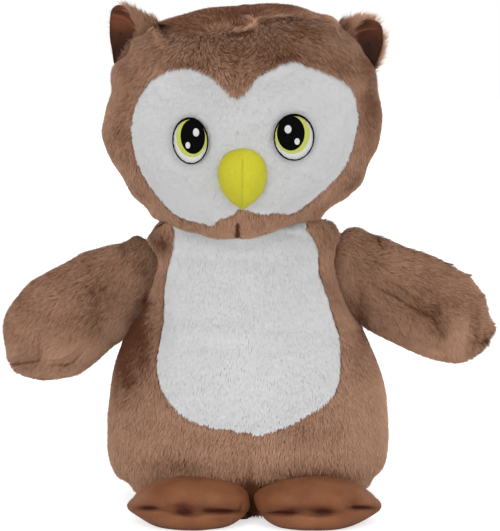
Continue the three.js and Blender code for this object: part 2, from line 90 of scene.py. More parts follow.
EYE_SPAN, EYE_SHIFT, EYE_Z, EYE_HALF, EYE_TALL, EYE_SINK = 39.5, -2.0, 298.0, 14.8, 18.0, 2.2
EYE_STRETCH = {"left": 1.06, "right": 0.94}
SIDES = {"left": 1, "right": -1}

METRES = 0.001
FLOOR_GAP = 0.3
# How far brown strands may start inside a white panel
OVERLAP = 0.4
# How deep inside another form the pile is left out, in head or body and in a wing's root
CLEAR, WING_CLEAR = 14.0, 10.0
# Distances beyond the joint on a wing and an ear, from which the two points handed to bent are found
WING_BEND, EAR_BEND = (-2.0, 34.0), (1.0, 14.0)
SLANT = 0.7071


# Numbers


def unit(v):
    return v / np.maximum(np.linalg.norm(v, axis=-1, keepdims=True), 1e-9)


def dot(a, b):
    return (a * b).sum(-1, keepdims=True)


def smooth(x, low, high):
    t = np.clip((x - low) / (high - low), 0, 1)
    return t * t * (3 - 2 * t)


def bell(x):
    return np.exp(-(x**2))


def circle(count):
    return np.linspace(0, 2 * math.pi, count, endpoint=False)


def upright(flat, y):
    """Points from their x and z and a depth."""
    return np.stack([flat[:, 0], y, flat[:, 1]], -1)


def eased(value, power):
    return np.sign(value) * np.abs(value) ** (2 / power)


def hashed(i, seed):
    """Even random numbers from 0 to 1 for whole-number triples."""
    i = i.astype(np.int64).astype(np.uint32)
    h = i[..., 0] * np.uint32(73856093) ^ i[..., 1] * np.uint32(19349663)
    h = h ^ i[..., 2] * np.uint32(83492791) ^ np.uint32((seed * 2654435761) & 0xFFFFFFFF)
    for shift, factor in ((16, 0x7FEB352D), (15, 0x846CA68B)):
        h = (h ^ (h >> np.uint32(shift))) * np.uint32(factor)
    return ((h ^ (h >> np.uint32(16))) & np.uint32(0xFFFFFF)) / float(0xFFFFFF)


def noise(p, size, seed):
    """Smooth noise from -1 to 1 whose lumps are about as large as size."""
    q = p / size + 137.3 * seed
    base = np.floor(q)
    f = q - base
    f = f * f * (3 - 2 * f)
    total = 0
    for corner in np.ndindex(2, 2, 2):
        c = np.array(corner)
        weight = np.prod(np.where(c, f, 1 - f), axis=-1)
        total = total + weight * hashed(base + c, seed)
    return 2 * total - 1


def nearest_tuft(p, size, seed):
    """For each point, the nearest of a jittered lattice's points, and three random numbers of its own."""
    base = np.floor(p / size)
    best = np.full(len(p), 1e9)
    spot, own = np.zeros_like(p), np.zeros_like(p)
    for step in np.ndindex(3, 3, 3):
        cell = base + np.array(step) - 1
        random = np.stack([hashed(cell, seed + k) for k in range(3)], -1)
        there = (cell + random) * size
        gap = ((there - p) ** 2).sum(-1)
        closer = gap < best
        best[closer], spot[closer] = gap[closer], there[closer]
        own[closer] = np.stack([hashed(cell, seed + k) for k in (5, 6, 7)], -1)[closer]
    return spot, own


def spline(points, t):
    """A smooth open curve through the points, at t from 0 to 1."""
    pts = np.asarray(points, float)
    t = np.clip(np.asarray(t, float), 0, 1) * (len(pts) - 1)
    i = np.minimum(t.astype(int), len(pts) - 2)
    w = (t - i)[..., None]
    p0, p1 = pts[np.maximum(i - 1, 0)], pts[i]
    p2, p3 = pts[i + 1], pts[np.minimum(i + 2, len(pts) - 1)]
    v0, v1 = (p2 - p0) / 2, (p3 - p1) / 2
    return (2 * p1 - 2 * p2 + v0 + v1) * w**3 + (3 * p2 - 3 * p1 - 2 * v0 - v1) * w**2 + v0 * w + p1


def ring(points, count):
    """Points evenly spaced along a smooth closed curve through the given ones."""
    pts = np.asarray(points, float)
    turned = np.vstack([pts[-2:], pts, pts[:3]])
    many = spline(turned, np.linspace(2, len(pts) + 2, 2000) / (len(turned) - 1))
    run = np.concatenate([[0], np.cumsum(np.linalg.norm(np.diff(many, axis=0), axis=1))])
    at = np.linspace(0, run[-1], count, endpoint=False)
    return np.stack([np.interp(at, run, many[:, k]) for k in range(many.shape[1])], -1)


def turned(points, degrees, middle):
    a = math.radians(degrees)
    turn = np.array([[math.cos(a), math.sin(a)], [-math.sin(a), math.cos(a)]])
    return (points - middle) @ turn + middle


def depth_in(polygon, p):
    """How far inside a closed outline each point lies; outside it is negative."""
    a, b = polygon, np.roll(polygon, -1, axis=0)
    edge = b - a
    near = np.full(len(p), 1e9)
    inside = np.zeros(len(p), bool)
    for (ax, ay), (ex, ey) in zip(a, edge):
        dx, dy = p[:, 0] - ax, p[:, 1] - ay
        t = np.clip((dx * ex + dy * ey) / max(ex * ex + ey * ey, 1e-9), 0, 1)
        near = np.minimum(near, (dx - t * ex) ** 2 + (dy - t * ey) ** 2)
        crosses = (ay > p[:, 1]) != (ay + ey > p[:, 1])
        if abs(ey) > 1e-12:
            inside ^= crosses & (dx < dy * ex / ey)
    return np.where(inside, 1, -1) * np.sqrt(near)


# The photograph's camera


def seen(p):
    """Pixels of the photograph at which points lie."""
    q = p - AIM
    up = q[..., 1] * SIN + q[..., 2] * COS
    away = DISTANCE + q[..., 1] * COS - q[..., 2] * SIN
    return np.stack([CENTRE[0] + FOCAL * q[..., 0] / away, CENTRE[1] - FOCAL * up / away], -1)


def unseen(pixels, y):
    """The points at depth y that show at these pixels."""
    px, py = np.asarray(pixels, float).T
    rise = CENTRE[1] - py
    z = (rise * (DISTANCE + y * COS) - FOCAL * y * SIN) / (FOCAL * COS + rise * SIN)
    away = DISTANCE + y * COS - z * SIN
    return np.stack([(px - CENTRE[0]) * away / FOCAL, np.broadcast_to(y, px.shape), z + AIM[2]], -1)


def along_lines(pixels, lines):
    """Depth of the creases at these pixels. Each line has its points, a depth and a half width in pixels."""
    total = np.zeros(len(pixels))
    for points, depth, reach in lines:
        near = np.full(len(pixels), 1e9)
        taper = np.ones(len(pixels))
        count = len(points) - 1
        for k in range(count):
            a, b = np.array(points[k], float), np.array(points[k + 1], float)
            e = b - a
            t = ((pixels - a) @ e) / (e @ e)
            gap = np.linalg.norm(pixels - a - np.clip(t, 0, 1)[:, None] * e, axis=1)
            closer = gap < near
            near = np.where(closer, gap, near)
            along = (k + np.clip(t, 0, 1)) / count
            taper = np.where(closer, np.sin(np.pi * (0.12 + 0.76 * along)), taper)
        total += depth * taper * bell(near / reach)
    return total


def at_spots(pixels, spots):
    """Height of the bumps at these pixels. Each spot has its middle, a height and two half widths in pixels."""
    total = np.zeros(len(pixels))
    for x, y, height, wide, tall in spots:
        total += height * np.exp(-(((pixels[:, 0] - x) / wide) ** 2) - ((pixels[:, 1] - y) / tall) ** 2)
    return total


def nudged(surface, pulls):
    """Draws places of a surface across the picture. Each pull has a pixel, a shift and a reach in pixels."""
    pixels = seen(surface.v)
    scale = DISTANCE / FOCAL
    for x, y, right, down_, reach in pulls:
        share = np.exp(-((pixels - (x, y)) ** 2).sum(-1) / reach**2)[:, None]
        surface.v = surface.v + share * scale * np.array([right, 0, -down_])
    return surface.refresh()


# Surfaces: vertices, four-cornered faces, a flat place for each vertex and unit normals


class Surface:
    def __init__(self, v, f, flat, seam, seam_step):
        self.v, self.f, self.flat = v, f, flat
        self.seam, self.seam_step = seam, seam_step
        self.painted_shade_and_highlight = np.zeros(len(v))
        self.refresh()

    def refresh(self):
        a, b, c, d = (self.v[self.f[:, k]] for k in range(4))
        face = np.cross(c - a, d - b)
        n = np.zeros_like(self.v)
        for k in range(4):
            np.add.at(n, self.f[:, k], face)
        first = self.seam
        last = first + self.seam_step
        n[first] = n[last] = n[first] + n[last]
        self.n = unit(n)
        return self

    def moved(self, amount):
        self.v = self.v + self.n * np.asarray(amount).reshape(-1, 1)
        return self.refresh()

    def part(self, chosen):
        """The faces that are chosen, as a surface of their own with the same normals."""
        f = self.f[chosen]
        used, back = np.unique(f, return_inverse=True)
        made = Surface.__new__(Surface)
        made.v, made.n, made.flat = self.v[used], self.n[used], self.flat[used]
        made.painted_shade_and_highlight = self.painted_shade_and_highlight[used]
        made.f = back.reshape(f.shape)
        return made

    def middles(self):
        return self.v[self.f].mean(axis=1)


def swollen(place, around_count, down_count, cut=(0.0, math.pi)):
    """A closed form like a sphere, from a function of two angles, whose seam runs down its back."""
    around = np.linspace(0.5 * math.pi, 2.5 * math.pi, around_count + 1)
    down = np.linspace(cut[0] + 1e-4, cut[1] - 1e-4, down_count + 1)
    a, d = np.meshgrid(around, down)
    v = place(a.ravel(), d.ravel())
    i = np.arange(down_count)[:, None] * (around_count + 1) + np.arange(around_count)[None, :]
    f = np.stack([i, i + around_count + 1, i + around_count + 2, i + 1], -1).reshape(-1, 4)
    flat = np.stack([(a.ravel() / (2 * math.pi)) - 0.25, 1 - d.ravel() / math.pi], -1)
    made = Surface(v, f, flat, np.arange(down_count + 1) * (around_count + 1), around_count)
    if (made.n * (v - v.mean(axis=0))).sum() < 0:
        made.f = f[:, ::-1]
        made.refresh()
    return made


def column(index, size):
    rows = [(row[index] * size, row[0] * BODY_HEIGHT) for row in SACK]
    return [(0.0, -BODY_TUCK), *rows, (0.0, BODY_HEIGHT)]


def sack_place(around, down):
    share = 1 - down / math.pi
    side = spline(column(1, BODY_HALF), share)
    front = spline(column(2, BODY_FRONT), share)[..., 0]
    back = spline(column(3, BODY_BACK), share)[..., 0]
    deep = np.where(np.sin(around) < 0, front, back)
    z = side[..., 1]
    return np.stack([
        BODY_LEAN * (1 - z / BODY_HEIGHT) + side[..., 0] * eased(np.cos(around), BODY_POWER),
        deep * eased(np.sin(around), BODY_POWER),
        z,
    ], -1)


SACK_SIDES = spline(column(1, BODY_HALF), np.linspace(0, 1, 400))
SACK_FRONTS = spline(column(2, BODY_FRONT), np.linspace(0, 1, 400))


def sack_size(z):
    """Half width and front depth of the body at a height."""
    return [np.interp(z, line[:, 1], line[:, 0]) for line in (SACK_SIDES, SACK_FRONTS)]


def inside_sack(p, spare):
    """True where points lie deeper than spare inside the body."""
    x, y, z = p.T
    wide, deep = (size - spare for size in sack_size(z))
    x = x - BODY_LEAN * (1 - z / BODY_HEIGHT)
    reach = np.abs(x / np.maximum(wide, 1)) ** BODY_POWER + np.abs(y / np.maximum(deep, 1)) ** BODY_POWER
    return (reach < 1) & (z < BODY_HEIGHT - spare) & (wide > 1)


def head_reach(level):
    level = np.clip(level, -1, 1)

    def left(power):
        return (1 - np.abs(level) ** power) ** (1 / power)

    return (
        np.where(level > 0, left(HEAD_POWER), left(JAW_POWER)),
        np.where(level > 0, left(HEAD_POWER), left(CHIN_POWER)),
    )


def head_place(around, down):
    level = eased(np.cos(down), HEAD_POWER)
    wide, deep = head_reach(level)
    return np.stack([
        wide * HEAD_HALF * eased(np.cos(around), PLAN_POWER),
        deep * HEAD_DEEP * eased(np.sin(around), PLAN_POWER),
        HEAD_Z + np.where(level > 0, HEAD_RISE, HEAD_DROP) * level,
    ], -1)


def inside_head(p, spare):
    level = (p[:, 2] - HEAD_Z) / np.where(p[:, 2] > HEAD_Z, HEAD_RISE - spare, HEAD_DROP - spare)
    wide, deep = head_reach(level)
    reach = (
        np.abs(p[:, 0] / np.maximum(wide * (HEAD_HALF - spare), 1)) ** PLAN_POWER
        + np.abs(p[:, 1] / np.maximum(deep * (HEAD_DEEP - spare), 1)) ** PLAN_POWER
    )
    return (reach < 1) & (np.abs(level) < 1)


def face_depth(x, z, grow):
    """How far forward the head's form, grown by that amount, lies at x and z."""
    climb = z - HEAD_Z
    wide, deep = head_reach(climb / (np.where(climb > 0, HEAD_RISE, HEAD_DROP) + grow))
    aside = np.clip(np.abs(x) / np.maximum(wide * (HEAD_HALF + grow), 1e-6), 0, 1)
    return -deep * (HEAD_DEEP + grow) * (1 - aside**PLAN_POWER) ** (1 / PLAN_POWER)


# Meshes


def fan(spokes, rings, flip=False):
    """Faces of a disc whose vertices are its middle and then ring after ring."""
    k = np.arange(spokes)
    after = (k + 1) % spokes
    first = np.stack([np.zeros(spokes, int), 1 + after, 1 + k], -1)
    corners = (k, after, after + spokes, k + spokes)
    rest = np.vstack([np.stack([1 + j * spokes + c for c in corners], -1) for j in range(rings - 1)])
    return [rest, first[:, ::-1] if flip else first]


def make(name, v, faces, materials, slots=None, uv=None, attributes=(), normals=None):
    """One smooth mesh object. faces is a list of arrays, each with one number of corners."""
    mesh = bpy.data.meshes.new(name)
    mesh.vertices.add(len(v))
    mesh.vertices.foreach_set("co", (np.asarray(v) * METRES).astype(np.float32).ravel())
    corners = np.concatenate([f.ravel() for f in faces])
    sizes = np.concatenate([np.full(len(f), f.shape[1]) for f in faces])
    starts = np.concatenate([[0], np.cumsum(sizes)[:-1]])
    mesh.loops.add(len(corners))
    mesh.polygons.add(len(sizes))
    mesh.loops.foreach_set("vertex_index", corners.astype(np.int32))
    mesh.polygons.foreach_set("loop_start", starts.astype(np.int32))
    for material in materials:
        mesh.materials.append(material)
    if slots is not None:
        mesh.polygons.foreach_set("material_index", slots.astype(np.int32))
    if uv is not None:
        layer = mesh.uv_layers.new(name="OFBake")
        layer.data.foreach_set("uv", uv.astype(np.float32).ravel())
    for title, values in attributes:
        layer = mesh.attributes.new(title, "FLOAT", "POINT")
        layer.data.foreach_set("value", np.asarray(values, np.float32))
    mesh.update(calc_edges=True)
    mesh.polygons.foreach_set("use_smooth", np.ones(len(sizes), bool))
    if normals is not None:
        mesh.normals_split_custom_set_from_vertices(normals.astype(np.float32))
    made = bpy.data.objects.new(name, mesh)
    bpy.context.scene.collection.objects.link(made)
    return made


def welded(surface):
    """The surface's faces with doubled points on its seam joined, for a mesh without pile."""
    keys = np.round(surface.v, 3)
    _, first, back = np.unique(keys, axis=0, return_index=True, return_inverse=True)
    back = back.ravel()
    f = back[surface.f]
    return surface.v[first], f, surface.painted_shade_and_highlight[first]


def skin_object(name, surface, material, attributes=()):
    v, f, painted_shade_and_highlight = welded(surface)
    whole = np.array([len(set(row)) == 4 for row in f])
    thin = [[c for k, c in enumerate(row) if c != row[k - 1]] for row in f[~whole]]
    thin = np.array([row for row in thin if len(row) == 3]).reshape(-1, 3)
    return make(name, v, [f[whole], thin], [material], attributes=[("painted_shade_and_highlight", painted_shade_and_highlight), *attributes])


def pile_object(name, surface, look, flow, keep=None, ruffle=None, seed=1, shorten=None, painted_shading=None):
    """A plush panel: its knitted backing and a pile of separate tapered strands, which lie along the flow."""
    rng = np.random.default_rng(seed)
    v, n, f = surface.v, surface.n, surface.f
    tri = np.vstack([f[:, [0, 1, 2]], f[:, [0, 2, 3]]])
    a, b, c = v[tri[:, 0]], v[tri[:, 1]], v[tri[:, 2]]
    area = np.linalg.norm(np.cross(b - a, c - a), axis=1) / 2
    total = area.sum()
    count = int(total * look["density"])
    pick = np.searchsorted(np.cumsum(area), (np.arange(count) + rng.random(count)) / count * total)
    pick = np.minimum(pick, len(tri) - 1)
    r = np.sqrt(rng.random(count))[:, None]
    s = rng.random(count)[:, None]
    w = np.hstack([1 - r, r * (1 - s), r * s])
    p = sum(w[:, k : k + 1] * v[tri[pick, k]] for k in range(3))
    up = unit(sum(w[:, k : k + 1] * n[tri[pick, k]] for k in range(3)))
    if keep is not None:
        kept = keep(p)
        p, up = p[kept], up[kept]
    # Strands near each other lie near each other in the bake's map too
    order = np.lexsort((p[:, 0] + p[:, 1] * 0.01, np.round(p[:, 2] / 5)))
    p, up = p[order], up[order]
    count = len(p)
    # Direction over the surface, turned by slow and quick noise, more so where the pile is ruffled
    rough = np.ones(count) if ruffle is None else 1 + ruffle(p)
    d = flow(p, up)
    d = unit(d - dot(d, up) * up)
    spot, own = nearest_tuft(p, look["tuft"], seed + 11)
    swirl, stray = look["swirl"], look["stray"]
    turn = swirl * (0.55 * noise(p, 40, seed + 1) + 0.45 * noise(p, 14, seed + 2) * rough)
    turn = turn + (own[:, 0] - 0.5) * 3 * stray * rough + rng.normal(0, stray, count)
    side = np.cross(up, d)
    d = d * np.cos(turn)[:, None] + side * np.sin(turn)[:, None]
    side = np.cross(up, d)
    toward = spot - p
    toward = toward - dot(toward, up) * up
    long = look["length"] * (0.85 + 0.25 * own[:, 1] + rng.normal(0, 0.08, count))
    if shorten is not None:
        long = long * shorten(p)
    lift = look["lift"] + 22 * stray * noise(p, 9, seed + 3) + 45 * stray * (own[:, 2] - 0.5) * rough
    angle = np.radians(np.clip(lift + rng.normal(0, 22 * stray, count), 6, 85))
    high, run = np.sin(angle) * long, np.cos(angle) * long
    half = look["width"] / 2 * (0.7 + 0.6 * rng.random(count))
    facing_out = 0.7 * np.tanh(p[:, 1] / 12) * side[:, 1]
    facing_out += (0.3 + 0.4 * smooth(p[:, 1], 0, 20)) * np.tanh(p[:, 0] / 30) * side[:, 0]
    roll = rng.normal(0, 1.6 * stray, count) - np.arctan(facing_out)
    across = side * np.cos(roll)[:, None] + up * np.sin(roll)[:, None]
    stages = []
    for h, s_, thick, pulled in ((0, 0, 1, 0), (0.66, 0.4, 0.9, 0.3), (1, 1, 0, 1)):
        centre = p + up * (high * h)[:, None] + d * (run * s_)[:, None] + toward * pulled * look["pull"]
        centre[:, 2] = np.maximum(centre[:, 2], 0.25)
        stages.append((centre, thick))
    points = []
    for centre, thick in stages[:2]:
        points += [centre - across * (half * thick)[:, None], centre + across * (half * thick)[:, None]]
    strand = np.stack([*points, stages[2][0]], 1)
    shade = np.tile([0.0, 0.0, 0.5, 0.5, 1.0], count)
    tone = 0.5 + look["contrast"] * (
        0.35 * noise(p, 26, seed + 4) + 0.25 * noise(p, 7, seed + 5) + 0.8 * (own[:, 1] - 0.5) * rough**0.5
        + rng.normal(0, 0.4, count)
    )
    # Painted light and shade: lowering the tone paints shade, raising it paints highlights
    if painted_shading is not None:
        tone = tone + painted_shading(p)
    corner = np.arange(count)[:, None] * 5 + len(v)
    faces = corner + np.array((1, 0, 2, 3))
    tips = corner + np.array((3, 2, 4))
    # Normals follow the backing, so that the pile is lit softly, and lean a little with each strand
    soft = unit(up - d * 0.25 - side * np.sin(roll)[:, None] * 0.6 + rng.normal(0, 0.7 * stray, (count, 3)))
    # Each strand has a cell of the bake's map, and the backing a strip below them
    columns = math.ceil(math.sqrt(count / 0.86)) or 1
    rows = math.ceil(count / columns)
    index = np.arange(count)
    cu, cv = (index % columns) / columns, 0.14 + (index // columns) / rows * 0.86
    du, dv = 0.8 / columns, 0.8 * 0.86 / rows

    def cells(shape):
        return np.stack([np.stack([cu + du * x, cv + dv * y], -1) for x, y in shape], 1).reshape(-1, 2)

    flat = surface.flat - surface.flat.min(axis=0)
    flat = flat / np.maximum(flat.max(axis=0), 1e-6) * (0.998, 0.132) + (0.001, 0.003)
    uv = np.concatenate([
        flat[f].reshape(-1, 2),
        cells(((0.1, 0.1), (0.95, 0.1), (0.95, 0.55), (0.1, 0.55))),
        cells(((0.1, 0.55), (0.95, 0.55), (0.5, 1.0))),
    ])
    return make(
        name,
        np.vstack([v, strand.reshape(-1, 3)]),
        [f, faces, tips],
        [look["backing"], look["pile"]],
        np.concatenate([np.zeros(len(f)), np.ones(2 * count)]),
        uv,
        [
            ("shade", np.concatenate([np.zeros(len(v)), shade])),
            ("tone", np.concatenate([np.full(len(v), 0.5), np.repeat(tone, 5)])),
        ],
        np.vstack([n, np.repeat(soft, 5, axis=0)]),
    )


# Materials


def linear(hexed):
    out = []
    for shift in (16, 8, 0):
        c = ((hexed >> shift) & 255) / 255
        out.append(c / 12.92 if c <= 0.04045 else ((c + 0.055) / 1.055) ** 2.4)
    return (*out, 1.0)


class Nodes:
    """Short calls for building one material."""

    def __init__(self, name, roughness, sheen=0.0, specular=0.5, sheen_roughness=0.5):
        self.material = bpy.data.materials.new(name)
        self.material.use_nodes = True
        self.tree = self.material.node_tree
        self.shader = self.tree.nodes["Principled BSDF"]
        self.shader.inputs["Roughness"].default_value = roughness
        self.shader.inputs["Sheen Weight"].default_value = sheen
        self.shader.inputs["Sheen Roughness"].default_value = sheen_roughness
        self.shader.inputs["Specular IOR Level"].default_value = specular

    def node(self, kind, inputs=None, **settings):
        made = self.tree.nodes.new(kind)
        for key, value in settings.items():
            setattr(made, key, value)
        for key, value in (inputs or {}).items():
            if isinstance(value, bpy.types.NodeSocket):
                self.tree.links.new(value, made.inputs[key])
            else:
                made.inputs[key].default_value = value
        return made

    def place(self):
        return self.node("ShaderNodeTexCoord").outputs["Object"]

    def stretched(self, scale, turn=(0, 0, 0)):
        inputs = {"Vector": self.place(), "Scale": scale, "Rotation": turn}
        return self.node("ShaderNodeMapping", inputs).outputs["Vector"]

    def noise(self, scale, detail=3.0, vector=None):
        inputs = {"Scale": scale, "Detail": detail, "Vector": vector or self.place()}
        return self.node("ShaderNodeTexNoise", inputs).outputs["Fac"]

    def wave(self, scale, distortion, direction="X", vector=None, detail=2.0):
        inputs = {"Scale": scale, "Distortion": distortion, "Detail": detail, "Vector": vector or self.place()}
        return self.node("ShaderNodeTexWave", inputs, bands_direction=direction).outputs["Fac"]

    def attribute(self, name):
        return self.node("ShaderNodeAttribute", attribute_name=name).outputs["Fac"]

    def ramp(self, value, stops):
        made = self.node("ShaderNodeValToRGB", {"Fac": value})
        ramp = made.color_ramp
        while len(ramp.elements) < len(stops):
            ramp.elements.new(0.5)
        for element, (place, colour) in zip(ramp.elements, stops):
            element.position = place
            element.color = linear(colour) if isinstance(colour, int) else (*np.broadcast_to(colour, 3), 1)
        return made.outputs["Color"]

    def mix(self, a, b, share, how="MIX"):
        made = self.node("ShaderNodeMix", data_type="RGBA", blend_type=how)
        for index, value in ((0, share), (6, a), (7, b)):
            if isinstance(value, bpy.types.NodeSocket):
                self.tree.links.new(value, made.inputs[index])
            else:
                made.inputs[index].default_value = linear(value) if isinstance(value, int) else value
        return made.outputs[2]

    def maths(self, how, a, b=0.0, c=0.0):
        return self.node("ShaderNodeMath", {0: a, 1: b, 2: c}, operation=how).outputs[0]

    def colour(self, socket):
        self.tree.links.new(socket, self.shader.inputs["Base Color"])

    def bump(self, height, strength, distance):
        made = self.node("ShaderNodeBump", {"Height": height, "Strength": strength, "Distance": distance})
        self.tree.links.new(made.outputs["Normal"], self.shader.inputs["Normal"])


def pile_material(name, root, body, tip, warm, deep):
    m = Nodes(name, 0.8, 0.05, 0.12)
    along = m.ramp(m.attribute("shade"), [(0.0, root), (0.5, body), (1.0, tip)])
    patchy = m.mix(along, warm, m.maths("MULTIPLY", m.noise(28, 2), 0.35))
    # The tone holds each strand's own random tone plus painted light and shade; low is darker, high is lighter
    tone = m.ramp(m.attribute("tone"), [(0.0, deep), (0.5, 0.95), (1.0, (1.42, 1.48, 1.54))])
    m.colour(m.mix(patchy, tone, 1.0, "MULTIPLY"))
    return m.material


def backing_material(name, dark, light):
    m = Nodes(name, 0.95, 0.1, 0.1)
    ribs = m.wave(260.0, 1.5)
    m.colour(m.ramp(m.mix(ribs, m.noise(160), 0.5), [(0.25, dark), (0.75, light)]))
    m.bump(ribs, 0.4, 0.0004)
    return m.material


def satin_material(name, dark, body, light, roughness=0.55):
    """Brushed satin weave: fine crossed threads, soft sheen, painted shade down its creases and painted highlights on
    its ridges.
    """
    m = Nodes(name, roughness, 0.02, 0.16, 0.35)
    weave = m.maths("MULTIPLY", m.wave(420.0, 0.6), m.wave(520.0, 0.8, "Z"))
    shade = m.mix(m.ramp(m.noise(45, 4), [(0.3, body), (0.7, light)]), body, m.maths("MULTIPLY", weave, 0.5))
    grain = m.ramp(m.noise(900, 2), [(0.3, 0.86), (0.7, 1.0)])
    shade = m.mix(shade, grain, 1.0, "MULTIPLY")
    # Painted shade where the attribute is above nought and painted highlight where it is below
    painted_shade_and_highlight = m.attribute("painted_shade_and_highlight")
    ridged = m.mix(shade, light, m.maths("MULTIPLY", painted_shade_and_highlight, -1.0))
    m.colour(m.mix(ridged, dark, painted_shade_and_highlight))
    m.bump(m.maths("ADD", m.maths("MULTIPLY", weave, 0.6), m.noise(600, 2)), 0.35, 0.0002)
    return m.material


def thread_material(name, dark, body, turn):
    """Satin stitch: close parallel threads that run one way, a little uneven."""
    m = Nodes(name, 0.85, 0.0, 0.03)
    threads = m.wave(300.0, 1.2, "X", m.stretched((1, 1, 1), (0, turn, 0)), 1.0)
    long = m.noise(90, 2, m.stretched((9, 1, 1), (0, turn, 0)))
    m.colour(m.ramp(m.mix(threads, long, 0.4), [(0.1, dark), (0.6, body)]))
    m.bump(threads, 0.6, 0.0004)
    return m.material


def filling_material():
    m = Nodes("fibre_filling", 0.95, 0.4, 0.1)
    wisps = m.noise(120, 6, m.stretched((1, 1, 0.3)))
    m.colour(m.ramp(wisps, [(0.3, 0xD8D4C8), (0.7, 0xF6F4EE)]))
    m.bump(wisps, 0.8, 0.003)
    return m.material


brown_backing = backing_material("brown_knit_backing", 0x6A4A38, 0x85634E)
brown_pile = pile_material("brown_pile", 0x86644F, 0xAA8268, 0xC29A7F, 0xB0826B, (0.25, 0.145, 0.095))
white_backing = backing_material("white_knit_backing", 0xCCCCCC, 0xD8D8D8)
white_pile = pile_material("white_pile", 0xD3D3D3, 0xDADADA, 0xDEDEDE, 0xDBDBDD, 0.7)
feet_satin = satin_material("brown_satin", 0x3E170B, 0x7C4A30, 0x93603F)
ear_satin = satin_material("dark_satin", 0x1E0A05, 0x40200F, 0x7A4630, 0.7)
beak_satin = satin_material("yellow_satin", 0xA39C1E, 0xC6C02C, 0xCCC634)
black_thread = thread_material("black_thread", 0x020202, 0x0B0B0C, 0.3)
white_thread = thread_material("white_thread", 0xB8B8B7, 0xDCDCDB, 0.3)
green_thread = thread_material("green_thread", 0x98A040, 0xC9CF68, 1.2)
filling = filling_material()

BROWN = dict(density=1.7, length=5.6, lift=28.0, width=0.44, tuft=1.2, pull=0.18, swirl=0.6, stray=0.12,
             contrast=0.25, backing=brown_backing, pile=brown_pile)
WHITE = dict(density=2.1, length=4.2, lift=14.0, width=0.8, tuft=3.0, pull=0.0, swirl=0.25, stray=0.035,
             contrast=0.045, backing=white_backing, pile=white_pile)

# Flow of the pile


def to_front(p, low, high, crown=36):
    """1 on what the photograph shows and 0 behind it; over the crown that is farther back."""
    return smooth(crown * smooth(p[:, 2], 372, 396) - p[:, 1], low, high)


def combed(px, flow, lines):
    """Lays the pile along wisps. Each has its points and a reach in pixels."""
    for points, reach in lines:
        for a, b in zip(np.array(points[:-1], float), np.array(points[1:], float)):
            e = b - a
            t = np.clip(((px - a) @ e) / (e @ e), 0, 1)[:, None]
            share = np.exp(-(((px - a - t * e) / reach) ** 2).sum(-1))[:, None]
            flow = flow * (1 - share) + share * unit(np.array([e[0], 0.0, -e[1]]))
    return flow


def downwards(p, up):
    return np.tile([0.0, 0.0, -1.0], (len(p), 1)) + 0.3 * up


# Lines of the picture that are used more than once: wisps over the forehead, then creases
WISP = [(232, 31.5), (243, 31), (251, 28), (255, 24), (254, 20), (247, 19)]
SMALL_WISP = [(256, 20), (270, 18), (288, 16)]
UNDER_WING = [(348, 286), (354, 308), (366, 332)]
RIGHT_TIP, RIGHT_TIP_FOLD = [(-4, 365), (14, 363), (42, 358)], [(54, 362), (66, 363), (76, 359), (88, 346)]
LEFT_ROOT, LEFT_FOLD = [(373, 232), (380, 250)], [(368, 280), (386, 290), (405, 303), (430, 316), (443, 333)]
CROWN_LINE = ((150, 175, 214, 235, 248, 256, 286, 320, 345), (22, 27, 35, 33, 30, 24, 17.5, 20, 28))


def from_crown(p, up):
    """Forwards and backwards from the seam over the crown, then down and outwards, and in towards the peak."""
    x, y, z = p.T
    top = smooth(z, 350, 390)
    aside = 0.85 * np.tanh(x / 60) * smooth(z, 262, 330)
    peak = bell(x / 26) * smooth(z, 338, 352) * smooth(-z, -385, -370)
    aside = aside * (1 - peak) - 1.1 * np.tanh((x + 4) / 10) * peak
    # The pile parts over the seam under the chin
    aside = aside + 0.2 * np.tanh((x + 5.8) / 2) * bell((x + 5.8) / 7) * smooth(-z, -232, -225)
    px = seen(p)
    crown = smooth(np.interp(px[:, 0], *CROWN_LINE) - px[:, 1], -1.5, 2.5)
    crown = np.maximum(crown * (z > 350), y > 10)
    flow = np.stack([aside, (1.8 * crown - 0.9) * top, np.full(len(p), -0.8)], -1)
    return combed(px, flow, [(WISP, 2.4), (SMALL_WISP, 1.6)] if y.min() < 0 else [])


def dressed(obj, body, node):
    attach(obj, body)
    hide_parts(node)


def bent(obj, before, after, start, end, slot, node):
    """Hides the node's part and bakes the piece's transform into its mesh; the two bodies and the two places are not
    used.
    """
    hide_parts(node)
    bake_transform(obj)


def halves(middle):
    return ("front", middle[:, 1] < 0), ("back", middle[:, 1] >= 0)


def quarters(part, middle, edge):
    """Each brown quarter of a form: its node, whether it is at the front, its side and its faces."""
    for hand, side in SIDES.items():
        for where, chosen in halves(middle):
            brown = (middle[:, 0] * side > 0) & chosen & (edge <= 0)
            yield f"{part}_{where}_{hand}_skin", where == "front", side, brown


# Body: the outline of its white panel, then the face's, in pixels

